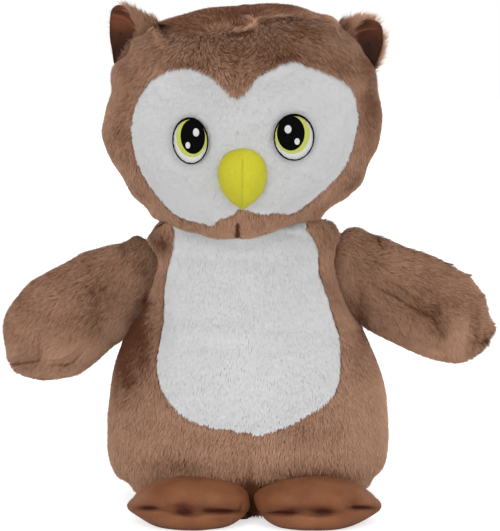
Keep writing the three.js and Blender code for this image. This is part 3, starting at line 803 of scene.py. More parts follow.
belly_px = [
    (339, 340), (340, 356), (339.5, 373), (336, 389), (327, 402), (312, 412), (297, 421), (283, 428), (267, 433),
    (250, 433), (234, 430), (217, 428), (201, 424), (184, 416), (172, 405), (163, 391), (158, 374), (158, 356),
    (161, 340), (164, 325), (165, 309), (165.5, 290), (168, 270), (172.5, 250), (174, 237), (176, 225), (179, 210),
    (240, 210), (300, 210), (304, 222), (312, 236), (317.5, 249), (317.5, 262), (317.5, 272), (322, 284),
    (326, 296), (330, 311), (334, 325),
]
face_px = [
    (351, 150), (343, 168), (330, 183), (318, 194), (305, 205), (297, 211), (288, 214), (276, 212), (262, 213),
    (250, 210), (240, 207), (234, 213), (226, 216), (218, 218), (214, 224), (206, 223), (196, 221), (185, 218),
    (172, 211), (160, 198), (148, 182), (140, 167), (134, 150), (132.5, 131), (135.5, 111), (142, 94), (154.5, 78),
    (173, 68), (194, 67), (214, 77), (229, 90.5), (236, 94.5), (243, 92), (254, 80), (271, 69), (291, 59.5),
    (308, 65), (329, 72.5), (348, 84.5), (356, 106), (356, 129),
]


def body_depth(x, z):
    """How far forward the body's form lies at x and z."""
    wide, deep = sack_size(z)
    aside = np.clip(np.abs(x - BODY_LEAN * (1 - z / BODY_HEIGHT)) / np.maximum(wide, 1), 0, 1)
    return -deep * (1 - aside**BODY_POWER) ** (1 / BODY_POWER)


def laid_on(pixels, depth):
    """The x and z at which an outline in the photograph lies on a form."""
    p = unseen(pixels, -70.0)
    for _ in range(6):
        p = unseen(pixels, depth(p[:, 0], p[:, 2]))
    return p[:, [0, 2]]


belly_line = laid_on(ring(belly_px, 140), body_depth)
face_line = laid_on(ring(face_px, 160), lambda x, z: face_depth(x, z, 0))


def on_front(p, polygon):
    """Depth inside an outline that is let into the front; behind the middle it counts as far outside."""
    return np.where(p[:, 1] < 0, depth_in(polygon, p[:, [0, 2]]), -60.0)


# In the tables below a pull is a pixel, a shift and a reach; a spot is a pixel, a height or painted shade and two half
# widths; a line has its points, a depth or painted shade and a half width. More painted shade is darker; below nought
# it is a painted highlight.

body_pulls = [
    (152, 240, -8, -1, 11), (167, 227, -1, -9, 13), (336, 231, 8, -3, 12), (324, 221, 3, -9, 13),
    (106, 420, -3, 0, 60), (384, 340, -3, 0, 25), (390, 430, 2, 0, 50), (123, 486, 3, -2, 9), (377, 478, -3, -1, 9),
]
body = nudged(swollen(sack_place, 300, 220), body_pulls)
body_px = seen(body.v)
facing = smooth(-body.v[:, 1], 0, 25)
edge = on_front(body.v, belly_line)
lumps = 1.6 * noise(body.v, 52, 3) + 0.9 * noise(body.v, 23, 4)
x, y, z = body.v.T
valley = 0.7 * bell(edge / 6.0)
valley += 1.3 * bell(x / 3.5) * (edge < 0) * (y < 0) * smooth(-z, -80, -66)
valley += 1.5 * bell(y / 4)
valley += 1.5 * bell(x / 4) * (y > 0) * smooth(z, 10, 30)
body_creases = [
    ([(152, 250), (155, 266), (146, 304)], 1.4, 3.6), (UNDER_WING, 2.0, 3.6), ([(146, 296), (160, 303)], 3.0, 4.0),
]
body_bumps = [
    (150, 318, 3.0, 9, 13), (352, 345, 2.0, 10, 20), (250, 360, 3.0, 60, 60), (240, 235, 20.0, 66, 12),
    (176, 230, 13.0, 16, 10), (306, 226, 13.0, 18, 10), (200, 322, 0.7, 30, 7), (215, 338, -0.6, 36, 7),
    (275, 331, 0.6, 26, 7),
]
nape = 8 * smooth(y, 0, 30) * np.exp(-(((z - 216) / 13) ** 2) - (x / 62) ** 4)
creases, bumps = along_lines(body_px, body_creases), at_spots(body_px, body_bumps)
body.moved(lumps - valley + nape - facing * creases + facing * bumps)
body.moved(-PILE)
low = body.v[:, 2] < 1.2
body.v[low, 2] = 1.2
middle = body.middles()
edge = on_front(middle, belly_line)


def body_part(name, chosen, look, flow, node, seed, keep=None):
    def kept(p):
        wanted = ~inside_head(p, CLEAR)
        return wanted & keep(p) if keep else wanted

    obj = pile_object(name, body.part(chosen), look, flow, kept, ruffled, seed, None, body_painted_shading)
    dressed(obj, "body", node)


def painted_shading_from(lines, spots):
    """Painted shade over creases and where the pile lies away from the light, and painted highlights where a value is
    below nought; only on the side the camera sees.
    """

    def painted_shading(p):
        front = to_front(p, -24, 12, 16)
        px = seen(p)
        return -front * (along_lines(px, lines) + at_spots(px, spots))

    return painted_shading


# Painted shade under the arms and wings, under the chin, between and above the feet; painted highlights on the flanks
# and low on the body
body_painted_shading = painted_shading_from(
    [
        (UNDER_WING, 0.3, 3.0), ([(150, 300), (142, 316), (128, 340)], 0.5, 5.0),
        ([(252, 440), (251, 505)], 0.2, 2.5), ([(160, 228), (240, 245), (330, 224)], 0.15, 4.0),
    ],
    [
        (129, 350, 0.45, 14, 40), (131, 328, 0.3, 10, 14), (150, 350, 0.2, 8, 26), (148, 304, 0.4, 6, 4),
        (162, 240, 0.5, 10, 11), (250, 502, 1.2, 9, 18), (272, 487, 0.85, 34, 8), (250, 265, -0.07, 60, 16),
        (190, 476, 0.25, 50, 6), (318, 473, 0.4, 44, 7), (180, 462, 0.28, 30, 9), (285, 449, -0.2, 55, 11),
        (362, 425, -0.12, 20, 45), (356, 350, 0.15, 8, 16), (366, 322, 0.3, 9, 9), (145, 300, 0.2, 7, 6),
        (165, 408, -0.12, 18, 10), (280, 434, -0.12, 16, 6), (350, 465, -0.1, 14, 14), (142, 450, -0.08, 14, 30),
        (168, 330, 0.12, 8, 40), (128, 350, 0.2, 10, 30), (146, 330, 0.3, 10, 24), (131, 326, 0.4, 9, 12),
        (361, 327, 0.4, 9, 14), (348, 268, -0.1, 8, 26), (383, 385, -0.35, 8, 60), (326, 236, 0.2, 12, 14),
        (135, 385, 0.2, 14, 16),
    ],
)
# Painted shade over the crown, forehead and sides of the head, beside the ears and down the chin's seam; painted
# highlights along the wisps and the ridge below the owl's right ear
head_painted_shading = painted_shading_from(
    [
        ([(236.8, 219), (236.5, 243)], 1.6, 1.6), ([(162, 20), (166, 30), (172, 38)], 0.3, 2.6),
        ([(152, 17), (156, 28), (162, 38)], -0.6, 3.0), (WISP, -0.5, 1.8), (SMALL_WISP, -0.3, 1.2),
        ([(226, 35), (240, 35), (254, 31)], 0.4, 1.6), ([(343, 28), (348, 37)], 0.3, 2.0),
    ],
    [
        (222, 48, 0.16, 60, 24), (248, 70, 0.1, 18, 22), (290, 50, 0.2, 40, 18), (330, 62, 0.12, 20, 18),
        (222, 17, 0.5, 44, 11), (230, 4, 0.2, 60, 9), (242, 22, 0.15, 18, 9), (290, 6, 0.45, 40, 11),
        (180, 28, 0.34, 30, 11), (304, 29, 0.32, 26, 11), (130, 62, 0.18, 14, 26), (158, 50, 0.2, 18, 14),
        (182, 64, 0.24, 20, 9), (128, 125, 0.26, 14, 36), (108, 148, 0.16, 12, 22), (130, 190, 0.2, 16, 14),
        (364, 60, 0.3, 11, 18), (368, 98, 0.18, 11, 26), (370, 125, 0.24, 12, 36), (344, 66, 0.22, 16, 12),
        (308, 60, 0.08, 20, 9), (285, 56, 0.14, 14, 8), (232, 52, 0.16, 14, 22), (168, 70, -0.1, 16, 7),
        (350, 182, 0.22, 14, 14), (322, 215, 0.15, 12, 14), (338, 240, 0.15, 10, 10), (240, 228, -0.06, 60, 10),
    ],
)


# Where the photograph shows the pile stroked the wrong way
ruffles = [
    (215, 55, 1.5, 40, 34), (240, 18, 1.5, 60, 14), (300, 40, 0.8, 30, 20), (78, 285, 1.3, 25, 30),
    (140, 255, 1.6, 12, 22), (330, 410, 0.8, 20, 20), (385, 260, 0.8, 30, 20), (430, 310, 1.2, 25, 14),
    (190, 470, 0.8, 60, 12), (235, 226, 0.6, 60, 8), (138, 56, -0.6, 26, 26), (366, 80, -0.6, 16, 40),
    (116, 120, -0.5, 18, 50), (372, 140, -0.4, 18, 50),
]


def ruffled(p):
    return to_front(p, -12, 10) * at_spots(seen(p), ruffles)


base = middle[:, 2] < 5
body_part("belly_panel_pile", (edge > 0) & ~base, WHITE, downwards, "belly_panel", 21,
          lambda p: on_front(p, belly_line) > 0)
for node, at_front, side, chosen in quarters("body", middle, edge):
    body_part(f"{node}_pile", chosen & ~base, dict(BROWN, density=2.5 if at_front else 1.6), downwards,
              node, 30 + len(node) + side, lambda p: on_front(p, belly_line) < OVERLAP)


def inwards(p, up):
    return np.stack([-p[:, 0], -p[:, 1], np.zeros(len(p))], -1)


body_part("body_base_skin_pile", base, dict(BROWN, density=0.6, length=6.0, lift=8.0, width=0.7), inwards,
          "body_base_skin", 44)

# Head

head_pulls = [
    (106, 90, 5, 0, 14), (100, 135, -3, 0, 18), (380, 90, -2, 0, 14), (376, 165, -4, 0, 16), (341, 202, -4, -1, 13),
    (141, 200, 3, 0, 12), (158, 219, -6, 0, 13), (334, 214, -5, -1, 14), (295, 231, 0, -7, 22), (123, 50, 5, 4, 13),
    (140, 28, 3, 2, 8), (362, 56, -3, 2, 12), (180, 226, 0, 4, 15), (210, 234, 0, 3, 14), (236, 236, 0, 3.5, 20),
    (352, 190, -2.5, 0, 9), (186, 10, 0, 3, 20), (232, 2, 0, 3, 24), (292, 4, 2, -4, 28), (332, 20, 0, -4, 14),
    (104, 158, -4, 0, 20), (138, 198, -4, 0, 12),
]
head = nudged(swollen(head_place, 300, 220), head_pulls)
head_px = seen(head.v)
facing = to_front(head.v, 0, 25)
edge = on_front(head.v, face_line)
lumps = 1.5 * noise(head.v, 46, 7) + 0.8 * noise(head.v, 20, 8)
x, y, z = head.v.T
valley = 0.7 * bell(edge / 6.0)
valley += bell(y / 4) * (1.2 - smooth(z, 360, 385))
valley += 1.4 * bell(x / 3.5) * (edge < 0) * (y > 0)
head_creases = [
    ([(237, 214), (236.6, 240)], 0.5, 1.8), ([(154, 17), (158, 28), (164, 38)], -2.2, 2.6),
    ([(232, 31), (248, 29), (255, 22), (247, 19)], -1.4, 1.8), ([(226, 34), (242, 33)], 1.2, 2.0),
    ([(340, 24), (347, 36)], 2.0, 3.0),
]
valley += facing * along_lines(head_px, head_creases)
head_bumps = [
    (108, 133, 3.5, 12, 16), (165, 180, 3.0, 26, 24), (305, 180, 3.0, 26, 24), (190, 140, -3.5, 26, 30),
    (294, 136, -3.5, 28, 30), (237, 112, -2.5, 12, 22), (237, 225, -3.0, 8, 14), (215, 222, 2.0, 14, 9),
    (265, 222, 2.0, 14, 9), (205, 82, 2.0, 26, 16), (275, 82, 2.0, 26, 16), (170, 24, -2.0, 20, 10),
]
head.moved(lumps - valley + facing * at_spots(head_px, head_bumps))
head.moved(-PILE)
middle = head.middles()
edge = on_front(middle, face_line)


def eye_middle(hand):
    return turned(np.array([[EYE_SHIFT + SIDES[hand] * EYE_SPAN, EYE_Z]]), FACE_ROLL, np.array([0, HEAD_Z]))[0]


def off_eyes(p):
    """How far outside both embroidered eyes a point lies, as a share of their size less one."""
    least = np.full(len(p), 9.0)
    for hand in SIDES:
        gap = turned(p[:, [0, 2]] - eye_middle(hand), -FACE_ROLL, np.zeros(2))
        least = np.minimum(least, np.hypot(gap[:, 0] / (EYE_HALF * EYE_STRETCH[hand]), gap[:, 1] / EYE_TALL) - 1)
    return np.where(p[:, 1] < 0, least, 9.0)


def face_flow(p, up):
    """Down and outwards from the middle of the face."""
    return np.stack([p[:, 0] * 0.012, np.zeros(len(p)), np.full(len(p), -0.7)], -1)


# The face's white a little darker all over, and painted shade towards its left and right borders
face_darkening_and_painted_shade = painted_shading_from([], [(243, 140, 0.18, 300, 300), (150, 150, 0.04, 30, 60), (330, 150, 0.03, 30, 60)])
face = pile_object(
    "face_panel_pile", head.part(edge > 0), dict(WHITE, density=2.8), face_flow,
    lambda p: (on_front(p, face_line) > 0) & (off_eyes(p) > 0.02) & ~inside_sack(p, CLEAR), None, 51,
    lambda p: 0.5 + 0.5 * smooth(off_eyes(p), 0.0, 0.35), face_darkening_and_painted_shade,
)
dressed(face, "head", "face_panel")
for node, at_front, side, chosen in quarters("head", middle, edge):
    obj = pile_object(
        f"{node}_pile", head.part(chosen), dict(BROWN, density=2.6 if at_front else 1.75), from_crown,
        lambda p: (on_front(p, face_line) < OVERLAP) & ~inside_sack(p, CLEAR), ruffled, 60 + len(node) + side,
        None, head_painted_shading,
    )
    dressed(obj, "head", node)

# Embroidered eyes: thin discs of stitches, one above another, inside a raised rim


def stitched(centre, spread, lift, height):
    """Places on the face at these offsets from an eye's middle, level but for the face's roll."""
    flat = turned(np.asarray(centre) + spread, FACE_ROLL, np.array([0, HEAD_Z]))
    return upright(flat, face_depth(flat[:, 0], flat[:, 1], lift - EYE_SINK) - height)


def disc(name, centre, half, lift, puff, material, opening, spokes=96, rings=16):
    """A domed field of stitches, cut off where it would pass the opening."""
    angle = circle(spokes)
    ux, uz = np.cos(angle), np.sin(angle)
    reach = 1 / np.hypot(ux / half[0], uz / half[1])
    (ox, oz), (oa, ob) = opening
    # Farthest point of each spoke that is still inside the opening
    cx, cz = centre[0] - ox, centre[1] - oz
    a = (ux / oa) ** 2 + (uz / ob) ** 2
    b = 2 * (cx * ux / oa**2 + cz * uz / ob**2)
    c = (cx / oa) ** 2 + (cz / ob) ** 2 - 1
    reach = np.minimum(reach, (-b + np.sqrt(np.maximum(b * b - 4 * a * c, 0))) / (2 * a))
    share = np.linspace(0, 1, rings + 1)[1:]
    r = (share[:, None] * reach[None, :]).ravel()
    spread = np.vstack([[(0, 0)], np.stack([r * np.tile(ux, rings), r * np.tile(uz, rings)], -1)])
    domed = np.concatenate([[1.0], np.repeat(1 - share**4, spokes)])
    return make(name, stitched(centre, spread, lift, puff * domed), fan(spokes, rings), [material])


def rim(name, centre, half, wide, lift, tall, material, spokes=144, sides=10):
    """A rounded ring of close stitches round an eye."""
    angle = circle(spokes)
    grid = []
    # The stitches are closer and wider over the brow, and their ends are ragged
    uneven = 0.16 * noise(np.outer(angle, (1, 0, 0)), 0.07, 3)
    wide = wide * (0.72 + 0.5 * np.maximum(np.sin(angle), 0) ** 2 + uneven)
    for t in circle(sides):
        grow = wide / 2 * math.cos(t)
        spread = [(half[0] - wide / 2 + grow) * np.cos(angle), (half[1] - wide / 2 + grow) * np.sin(angle)]
        wave = 1 + 0.12 * np.sin(angle * 72)
        grid.append(stitched(centre, np.stack(spread, -1), lift, tall * math.sin(t) * wave))
    k = np.arange(spokes)
    after = (k + 1) % spokes
    f = []
    for j in range(sides):
        this, following = j * spokes, (j + 1) % sides * spokes
        f.append(np.stack([this + k, this + after, following + after, following + k], -1))
    return make(name, np.vstack(grid), [np.vstack(f)], [material])


for hand, side in SIDES.items():
    stretch = EYE_STRETCH[hand]

    def spot(inward, up, half, tall):
        return (EYE_SHIFT + side * (EYE_SPAN - inward * stretch), EYE_Z + up), (half * stretch, tall)

    whole = spot(0, 0, EYE_HALF, EYE_TALL)
    open_ = (whole[0], (whole[1][0] - 1.1, whole[1][1] - 1.1))
    fields = [
        ("white", spot(-0.3, -0.3, EYE_HALF, EYE_TALL), 0.1, 0.5, white_thread, "white_thread"),
        ("iris", spot(1.2, 2.3, 12.6, 14.8), 0.45, 0.5, green_thread, "green_thread"),
        ("pupil", spot(2.2, 3.2, 10, 13.2), 0.8, 0.5, black_thread, "black_thread"),
        ("glint_upper", spot(4.2 + 0.8 * (side < 0), 6.4, 2.5, 3.1), 1.45, 0.35, white_thread, "white_thread"),
        ("glint_lower", spot(-2.1, -3.3, 1.9, 2.5), 1.45, 0.35, white_thread, "white_thread"),
    ]
    for what, (centre, half), lift, puff, material, slot in fields:
        node = f"eye_{hand}_{what}"
        obj = disc(f"{node}_stitches", np.array(centre), half, lift, puff, material, open_)
        dressed(obj, "head", node)
    obj = rim(f"eye_{hand}_rim_stitches", *whole, 1.5, 0.5, 1.0, black_thread)
    dressed(obj, "head", f"eye_{hand}_rim")

# Beak: a padded satin dome in two panels with a seam between them


def beak_place(inset, back=-3.2):
    tall = BEAK_TOP - BEAK_TIP
    half = [(w * BEAK_HALF, BEAK_TIP + h * tall) for w, h in BEAK]
    middle_ = np.array([0, (BEAK_TOP + BEAK_TIP) / 2])

    def place(around, down):
        turn = (4.5 - around / math.pi) % 2
        edge_ = spline(half, np.where(turn > 1, 2 - turn, turn))
        spoke = np.stack([np.where(turn > 1, -edge_[:, 0], edge_[:, 0]), edge_[:, 1]], -1) - middle_
        reach = np.sin(down) * (1 - inset / np.linalg.norm(spoke, axis=1))
        flat = middle_ + spoke * reach[:, None]
        y = face_depth(flat[:, 0], flat[:, 1], back) - (BEAK_BULGE - back - inset) * np.maximum(np.cos(down), 0)
        return upright(flat, y) * (1.03, 1, 1) - (1.2, 0, 0)

    return place


beak = swollen(beak_place(0), 160, 90)
beak_px = seen(beak.v)
front = smooth(-beak.v[:, 1], 76, 82)
seam_gap = beak.v[:, 0] - 0.02 * (beak.v[:, 2] - BEAK_TIP) + 1.6
groove = bell(seam_gap / 0.7) * front * smooth(-beak.v[:, 2], -288, -280)
beak_puckers = [(223, 190, 0.8, 4, 4), (262, 192, 0.8, 4, 4), (232, 201, 0.7, 4, 3), (252, 201, 0.7, 4, 3)]
puckers = at_spots(beak_px, beak_puckers)
# Painted shade down the seam's groove and, a little, over the owl's right panel
beak.painted_shade_and_highlight = np.clip(0.5 * groove + 0.2 * smooth(-seam_gap, -1, 1), 0, 1)
beak.moved(-0.4 * groove + front * (puckers + 0.3 * noise(beak.v, 9, 5)))
for hand, side in SIDES.items():
    node = f"beak_{hand}_panel"
    obj = skin_object(f"{node}_satin", beak.part((beak.middles()[:, 0] + 1.6) * side > 0), beak_satin)
    dressed(obj, "head", node)

# Wings


def wing_axis(side):
    run = np.array([WING_FOOT[0] - SHOULDER[0], 0, WING_FOOT[1] - SHOULDER[1]])
    run = run / np.linalg.norm(run)
    out = np.array([-run[2], 0, run[0]])
    return np.array([side * SHOULDER[0], 0, SHOULDER[1]]), out * (side, 1, 1)


def wing_place(hand, inset, root):
    side = SIDES[hand]
    droop = math.radians(WING_DROOP[hand])
    along = np.array([math.cos(droop), -math.sin(droop)])
    across = np.array([math.sin(droop), math.cos(droop)])
    pivot = np.array(WING_ROOT)
    line = ring([(u * WING_LENGTH, v * WING_HALF) for u, v in WING], 720)
    edge_ = pivot + line[:, :1] * along + line[:, 1:] * across
    middle_ = pivot + WING_MIDDLE * WING_LENGTH * along
    point, out = wing_axis(1)
    out = out[[0, 2]]
    point = point[[0, 2]]
    edge_ = edge_ + unit(middle_ - edge_) * inset

    def place(around, down):
        index = (around / (2 * math.pi) * 720) % 720
        i = index.astype(int) % 720
        w = (index - np.floor(index))[:, None]
        rim_ = edge_[i] * (1 - w) + edge_[(i + 1) % 720] * w
        flat = middle_ + (rim_ - middle_) * np.sin(down)[:, None]
        free = (flat - point) @ out
        thick = root + (WING_DEEP - inset - root) * smooth(free, -8, 40)
        return upright(flat * (side, 1), side * thick * np.cos(down))

    return place


wing_creases = {
    "right": [
        (RIGHT_TIP, 5.0, 3.2), (RIGHT_TIP_FOLD, 4.6, 3.4), ([(41, 360), (41, 326)], 2.8, 3.4),
        ([(147, 296), (142, 306)], 2.0, 4.0),
    ],
    "left": [
        (LEFT_FOLD, 5.4, 5.4), ([(471, 354), (474, 298)], 2.6, 4.0), (LEFT_ROOT, 3.5, 3.0),
        ([(468, 341), (494, 340)], 3.0, 2.5),
    ],
}
# Each wing a little darker all over; painted shade down the folds and creases and at the roots, painted highlights on
# the rolls below the folds and along the outer edges
wing_painted_shading = {
    "right": painted_shading_from(
        [
            (RIGHT_TIP, 0.5, 1.6), (RIGHT_TIP_FOLD, 0.52, 2.2), ([(41, 360), (41, 328)], 0.16, 2.4),
            ([(44, 357), (64, 352), (88, 338)], -0.14, 3.0), ([(8, 370), (50, 372), (92, 367)], -0.12, 3.0),
            ([(14, 374), (60, 378)], 0.15, 1.6), ([(152, 262), (150, 285), (142, 306)], 0.08, 4.0),
            ([(125, 236), (126, 262)], 0.12, 3.0), ([(14, 372), (50, 377)], 0.12, 1.5),
        ],
        [
            (70, 310, 0.14, 100, 100), (96, 288, 0.2, 20, 22), (80, 262, 0.05, 30, 8), (36, 282, -0.04, 18, 12),
            (140, 262, 0.14, 10, 20), (112, 240, -0.12, 9, 12), (56, 344, -0.14, 14, 14), (98, 312, 0.12, 9, 20),
            (22, 300, 0.05, 10, 14), (86, 350, -0.34, 34, 13), (64, 366, -0.2, 16, 7), (148, 299, 0.45, 7, 7),
            (136, 322, 0.3, 7, 10), (120, 326, -0.22, 14, 14), (14, 352, -0.15, 9, 10), (14, 320, -0.03, 12, 14),
            (55, 272, 0.1, 14, 8),
        ],
    ),
    "left": painted_shading_from(
        [
            (LEFT_FOLD, 0.38, 3.0), (LEFT_ROOT, 0.6, 1.8), ([(472, 341), (492, 340)], 0.4, 1.5),
            ([(471, 352), (474, 300)], 0.18, 3.0), ([(345, 288), (356, 312), (372, 330)], 0.22, 4.0),
        ],
        [
            (430, 300, 0.13, 100, 100), (345, 280, -0.12, 7, 24), (360, 306, 0.3, 8, 22), (368, 240, 0.2, 10, 9),
            (430, 310, 0.2, 18, 10), (372, 266, 0.08, 10, 14), (456, 334, -0.24, 11, 17), (446, 322, 0.05, 5, 8),
            (470, 278, -0.2, 12, 10), (432, 298, 0.1, 22, 9), (398, 328, -0.05, 22, 12), (420, 282, 0.08, 24, 14),
            (482, 290, -0.14, 12, 34), (422, 351, -0.34, 38, 9), (402, 344, -0.1, 14, 10), (432, 328, 0.14, 8, 9),
            (346, 246, 0.12, 14, 12),
        ],
    ),
}
wing_pulls = {
    "right": [
        (150, 244, 9, 3, 15), (152, 262, 4, 0, 12), (122, 230, 1, 7, 14), (84, 251, -2, -3, 16),
        (62, 264, -2, -3, 24), (34, 280, -3, -3, 22), (4, 318, -5, 0, 24), (14, 366, -3, 1, 16),
        (60, 380, 0, 3, 22), (90, 372, 4, 4, 26), (128, 330, 4, 2, 12),
    ],
    "left": [
        (342, 240, -9, 2, 14), (360, 230, 1, -3, 13), (380, 236, 0, -2, 11), (385, 240, 1, -2, 26),
        (432, 257, 1, -2, 26), (494, 325, 5, 0, 14), (492, 345, 3, -1, 10), (440, 364, 0, -1, 22),
        (395, 352, 0, -1, 20), (452, 262, 1, -2, 4), (468, 276, 2, -2, 4), (482, 297, 3, -1, 5),
        (490, 314, -2, 1, 4), (497, 330, 3, 0, 5), (487, 341, -4, 0, 4),
    ],
}
wing_bumps = {
    "right": [
        (70, 310, 3.0, 34, 34), (120, 250, 3.0, 14, 12), (60, 373, 3.5, 44, 6), (54, 346, 3.0, 12, 12),
        (22, 344, 2.0, 12, 14),
    ],
    "left": [(395, 330, 5.0, 32, 15), (455, 336, 6.0, 14, 18), (400, 262, 2.5, 30, 14), (478, 318, -1.0, 10, 24)],
}


def fringed(out):
    def flow(p, up):
        px = seen(p)
        # Above the fold of the owl's left wing the pile runs outwards, and below it down
        above = smooth(px[:, 0] * 0.62 - px[:, 1], -48, -36)[:, None] * (out[0] > 0)
        swept = out * (0.62, 0, 1) * (1 - above)
        return swept + np.array([0, 0, -1.0]) * (1 - 0.55 * above) + np.array([1.3, 0, 0]) * above

    return flow


def wing_short(p):
    """Shorter pile at the top of each wing's root, where it lies against the body."""
    return 1 - at_spots(seen(p), [(148, 236, 0.6, 11, 11), (341, 232, 0.6, 11, 11)])


wing_roots = {}
for hand, side in SIDES.items():
    wing = nudged(swollen(wing_place(hand, 0, 14.0), 220, 130), wing_pulls[hand])
    px = seen(wing.v)
    front = smooth(-wing.v[:, 1], 0, 8)
    lumps = 1.4 * noise(wing.v, 40, 13 + side) + 0.8 * noise(wing.v, 18, 17 + side)
    creases, bumps = along_lines(px, wing_creases[hand]), at_spots(px, wing_bumps[hand])
    wing.moved(lumps - 1.6 * bell(wing.v[:, 1] / 3) - front * creases + front * bumps)
    wing.moved(-PILE)
    point, out = wing_axis(side)
    wing_roots[hand] = [point + reach * out for reach in WING_BEND]
    middle = wing.middles()
    for where, chosen in halves(middle):
        node = f"wing_{hand}_{where}_skin"
        look = dict(BROWN, density=2.8 if where == "front" else 2.0)
        obj = pile_object(f"{node}_pile", wing.part(chosen), look, fringed(out), lambda p: ~inside_sack(p, WING_CLEAR),
                          ruffled, 80 + len(node) + 3 * side, wing_short, wing_painted_shading[hand])
        bent(obj, "body", f"wing_{hand}", *wing_roots[hand], "brown_plush", node)

# Ears: a furry leaf with a satin lining in its hollow

# Painted highlights on the pale fringes at the ears' tips and outer edges, painted shade along their inner edges and
# bases
ear_painted_shading = painted_shading_from(
    [([(140, 12), (148, 24), (160, 34)], 0.12, 3.0)],
    [
        (122, 3, -0.6, 14, 5), (370, 16, -0.8, 17, 6), (384, 46, -1.1, 10, 32), (343, 32, 0.35, 5, 9),
        (136, 24, 0.08, 4, 10), (146, 22, -0.05, 8, 8), (335, 26, -0.05, 8, 8),
    ],
)


ear_leaves = {
    "right": [
        (110.5, 30), (111, 14), (114, 6.5), (119, 4), (127, 5), (136, 9), (147, 14.5), (158, 20), (162, 34),
        (150, 55), (130, 66), (116, 66), (112, 50),
    ],
    "left": [
        (338, 22), (347, 19), (356, 16), (366, 16), (377, 19.5), (383, 26), (385, 40), (382, 58), (374, 73),
        (362, 72), (348, 58), (336, 40),
    ],
}


def ear_cup(hand, x, z):
    """How far back the middle of the ear's leaf lies."""
    across = ((x - SIDES[hand] * EAR_X) * SIDES[hand] - (z - EAR_Z)) * SLANT / EAR_HALF
    rise = ((x - SIDES[hand] * EAR_X) * SIDES[hand] + (z - EAR_Z)) * SLANT / EAR_TALL[hand]
    return 6.0 * (1 - np.clip(across, -1, 1) ** 2) * np.clip(rise, 0, 1)


def leaf_surface(hand, lift):
    """A closed leaf: its front and its back meet round the edge."""
    line = unseen(ring(ear_leaves[hand], 120), 0.0)[:, [0, 2]]
    middle_ = line.mean(axis=0)

    def place(around, down):
        index = np.round((around / (2 * math.pi)) * 120).astype(int) % 120
        flat = middle_ + (line[index] - middle_) * np.sin(down)[:, None]
        return upright(flat, ear_cup(hand, flat[:, 0], flat[:, 1]) + lift * np.cos(down))

    return swollen(place, 120, 60)


ear_linings = {
    "right": [
        (120.3, 5), (126.2, 9.3), (131.2, 15.2), (134.6, 22), (136.8, 30.3), (136.3, 36.2), (128.7, 48),
        (120.3, 60), (114.4, 64), (112, 50.5), (109.8, 37), (109.8, 20.2), (111.4, 10.1), (115.6, 5.9),
    ],
    "left": [
        (364.6, 20.2), (374.7, 21), (381.5, 26), (382.5, 33.7), (381.4, 47), (376, 64), (371.4, 72), (364, 68),
        (359, 57.3), (354, 47.2), (351, 40.4), (351.5, 35.4), (356.2, 27),
    ],
}
lining_folds = [
    ([(110, 16), (116, 16.5), (124, 18.5), (129, 22), (133, 29)], -1.5, 1.3),
    ([(113, 12), (122, 13), (131, 19)], 0.9, 2.2), ([(352, 38), (358, 32), (366, 29.5), (376, 29)], -1.4, 1.3),
    ([(358, 26), (370, 23.5)], 0.8, 2.5),
]
LINING_SPOKES, LINING_RINGS = 80, 24
for hand, side in SIDES.items():
    leaf = leaf_surface(hand, 3.6)
    leaf.moved(-1.2)
    lining_line = np.array(ring(ear_linings[hand], LINING_SPOKES))

    def beside_lining(p):
        front_ = p[:, 1] < ear_cup(hand, p[:, 0], p[:, 2]) + 0.6
        inside = depth_in(lining_line, seen(p)) > 0
        return ~(front_ & inside)

    def up_the_ear(p, up):
        return np.tile([side * 0.7, 0, 0.7], (len(p), 1))

    look = dict(BROWN, density=2.4, length=6.6, lift=30.0, width=0.32, stray=0.22)
    leaf = leaf.part(beside_lining(leaf.middles()))
    obj = pile_object(f"ear_{hand}_outer_pile", leaf, look, up_the_ear, beside_lining, None, 90 + side,
                      lambda p: 1 - at_spots(seen(p), [(114, 64, 0.7, 8, 10), (366, 74, 0.7, 8, 10)]), ear_painted_shading)
    base_point = np.array([side * (EAR_X + SLANT * EAR_BEND[0]), 0, EAR_Z + SLANT * EAR_BEND[0]])
    ear_bend = base_point, base_point + np.array([side * SLANT, 0, SLANT]) * EAR_BEND[1]
    bent(obj, "head", f"ear_{hand}", *ear_bend, "brown_plush", f"ear_{hand}_outer")
    # Lining
    middle_px = lining_line.mean(axis=0)
    share = np.linspace(0, 1, LINING_RINGS + 1)[1:]
    spread = (lining_line[None] - middle_px) * share[:, None, None]
    spots_px = np.vstack([[middle_px], (middle_px + spread).reshape(-1, 2)])
    near_edge = np.concatenate([[0], np.repeat(share, LINING_SPOKES)])
    folds = along_lines(spots_px, lining_folds)
    rise = ((unseen(spots_px, 0.0) - (side * EAR_X, 0, EAR_Z)) @ (side * SLANT, 0, SLANT)) / EAR_TALL[hand]
    y = 5.0 * np.clip(rise, 0, 1) - 3.4 + 3.0 * (1 - near_edge**3) + folds
    v = unseen(spots_px, y)
    # Painted shade, darker low down, towards the middle and in the folds' hollows, and painted highlights along the
    # folds' ridges
    shaded = smooth(-v[:, 2], -EAR_Z - 20, -EAR_Z + 10) * 0.75 + 0.2 * (1 - near_edge) + 0.65 * folds - 0.1
    shaded = np.clip(shaded, -1, 1)
    faces = fan(LINING_SPOKES, LINING_RINGS, True)
    obj = make(f"ear_{hand}_lining_satin", v, faces, [ear_satin], attributes=[("painted_shade_and_highlight", shaded)])
    bent(obj, "head", f"ear_{hand}", *ear_bend, "dark_satin", f"ear_{hand}_lining")

# Feet

FOOT_INNER = {"left": -0.2, "right": 0.25}


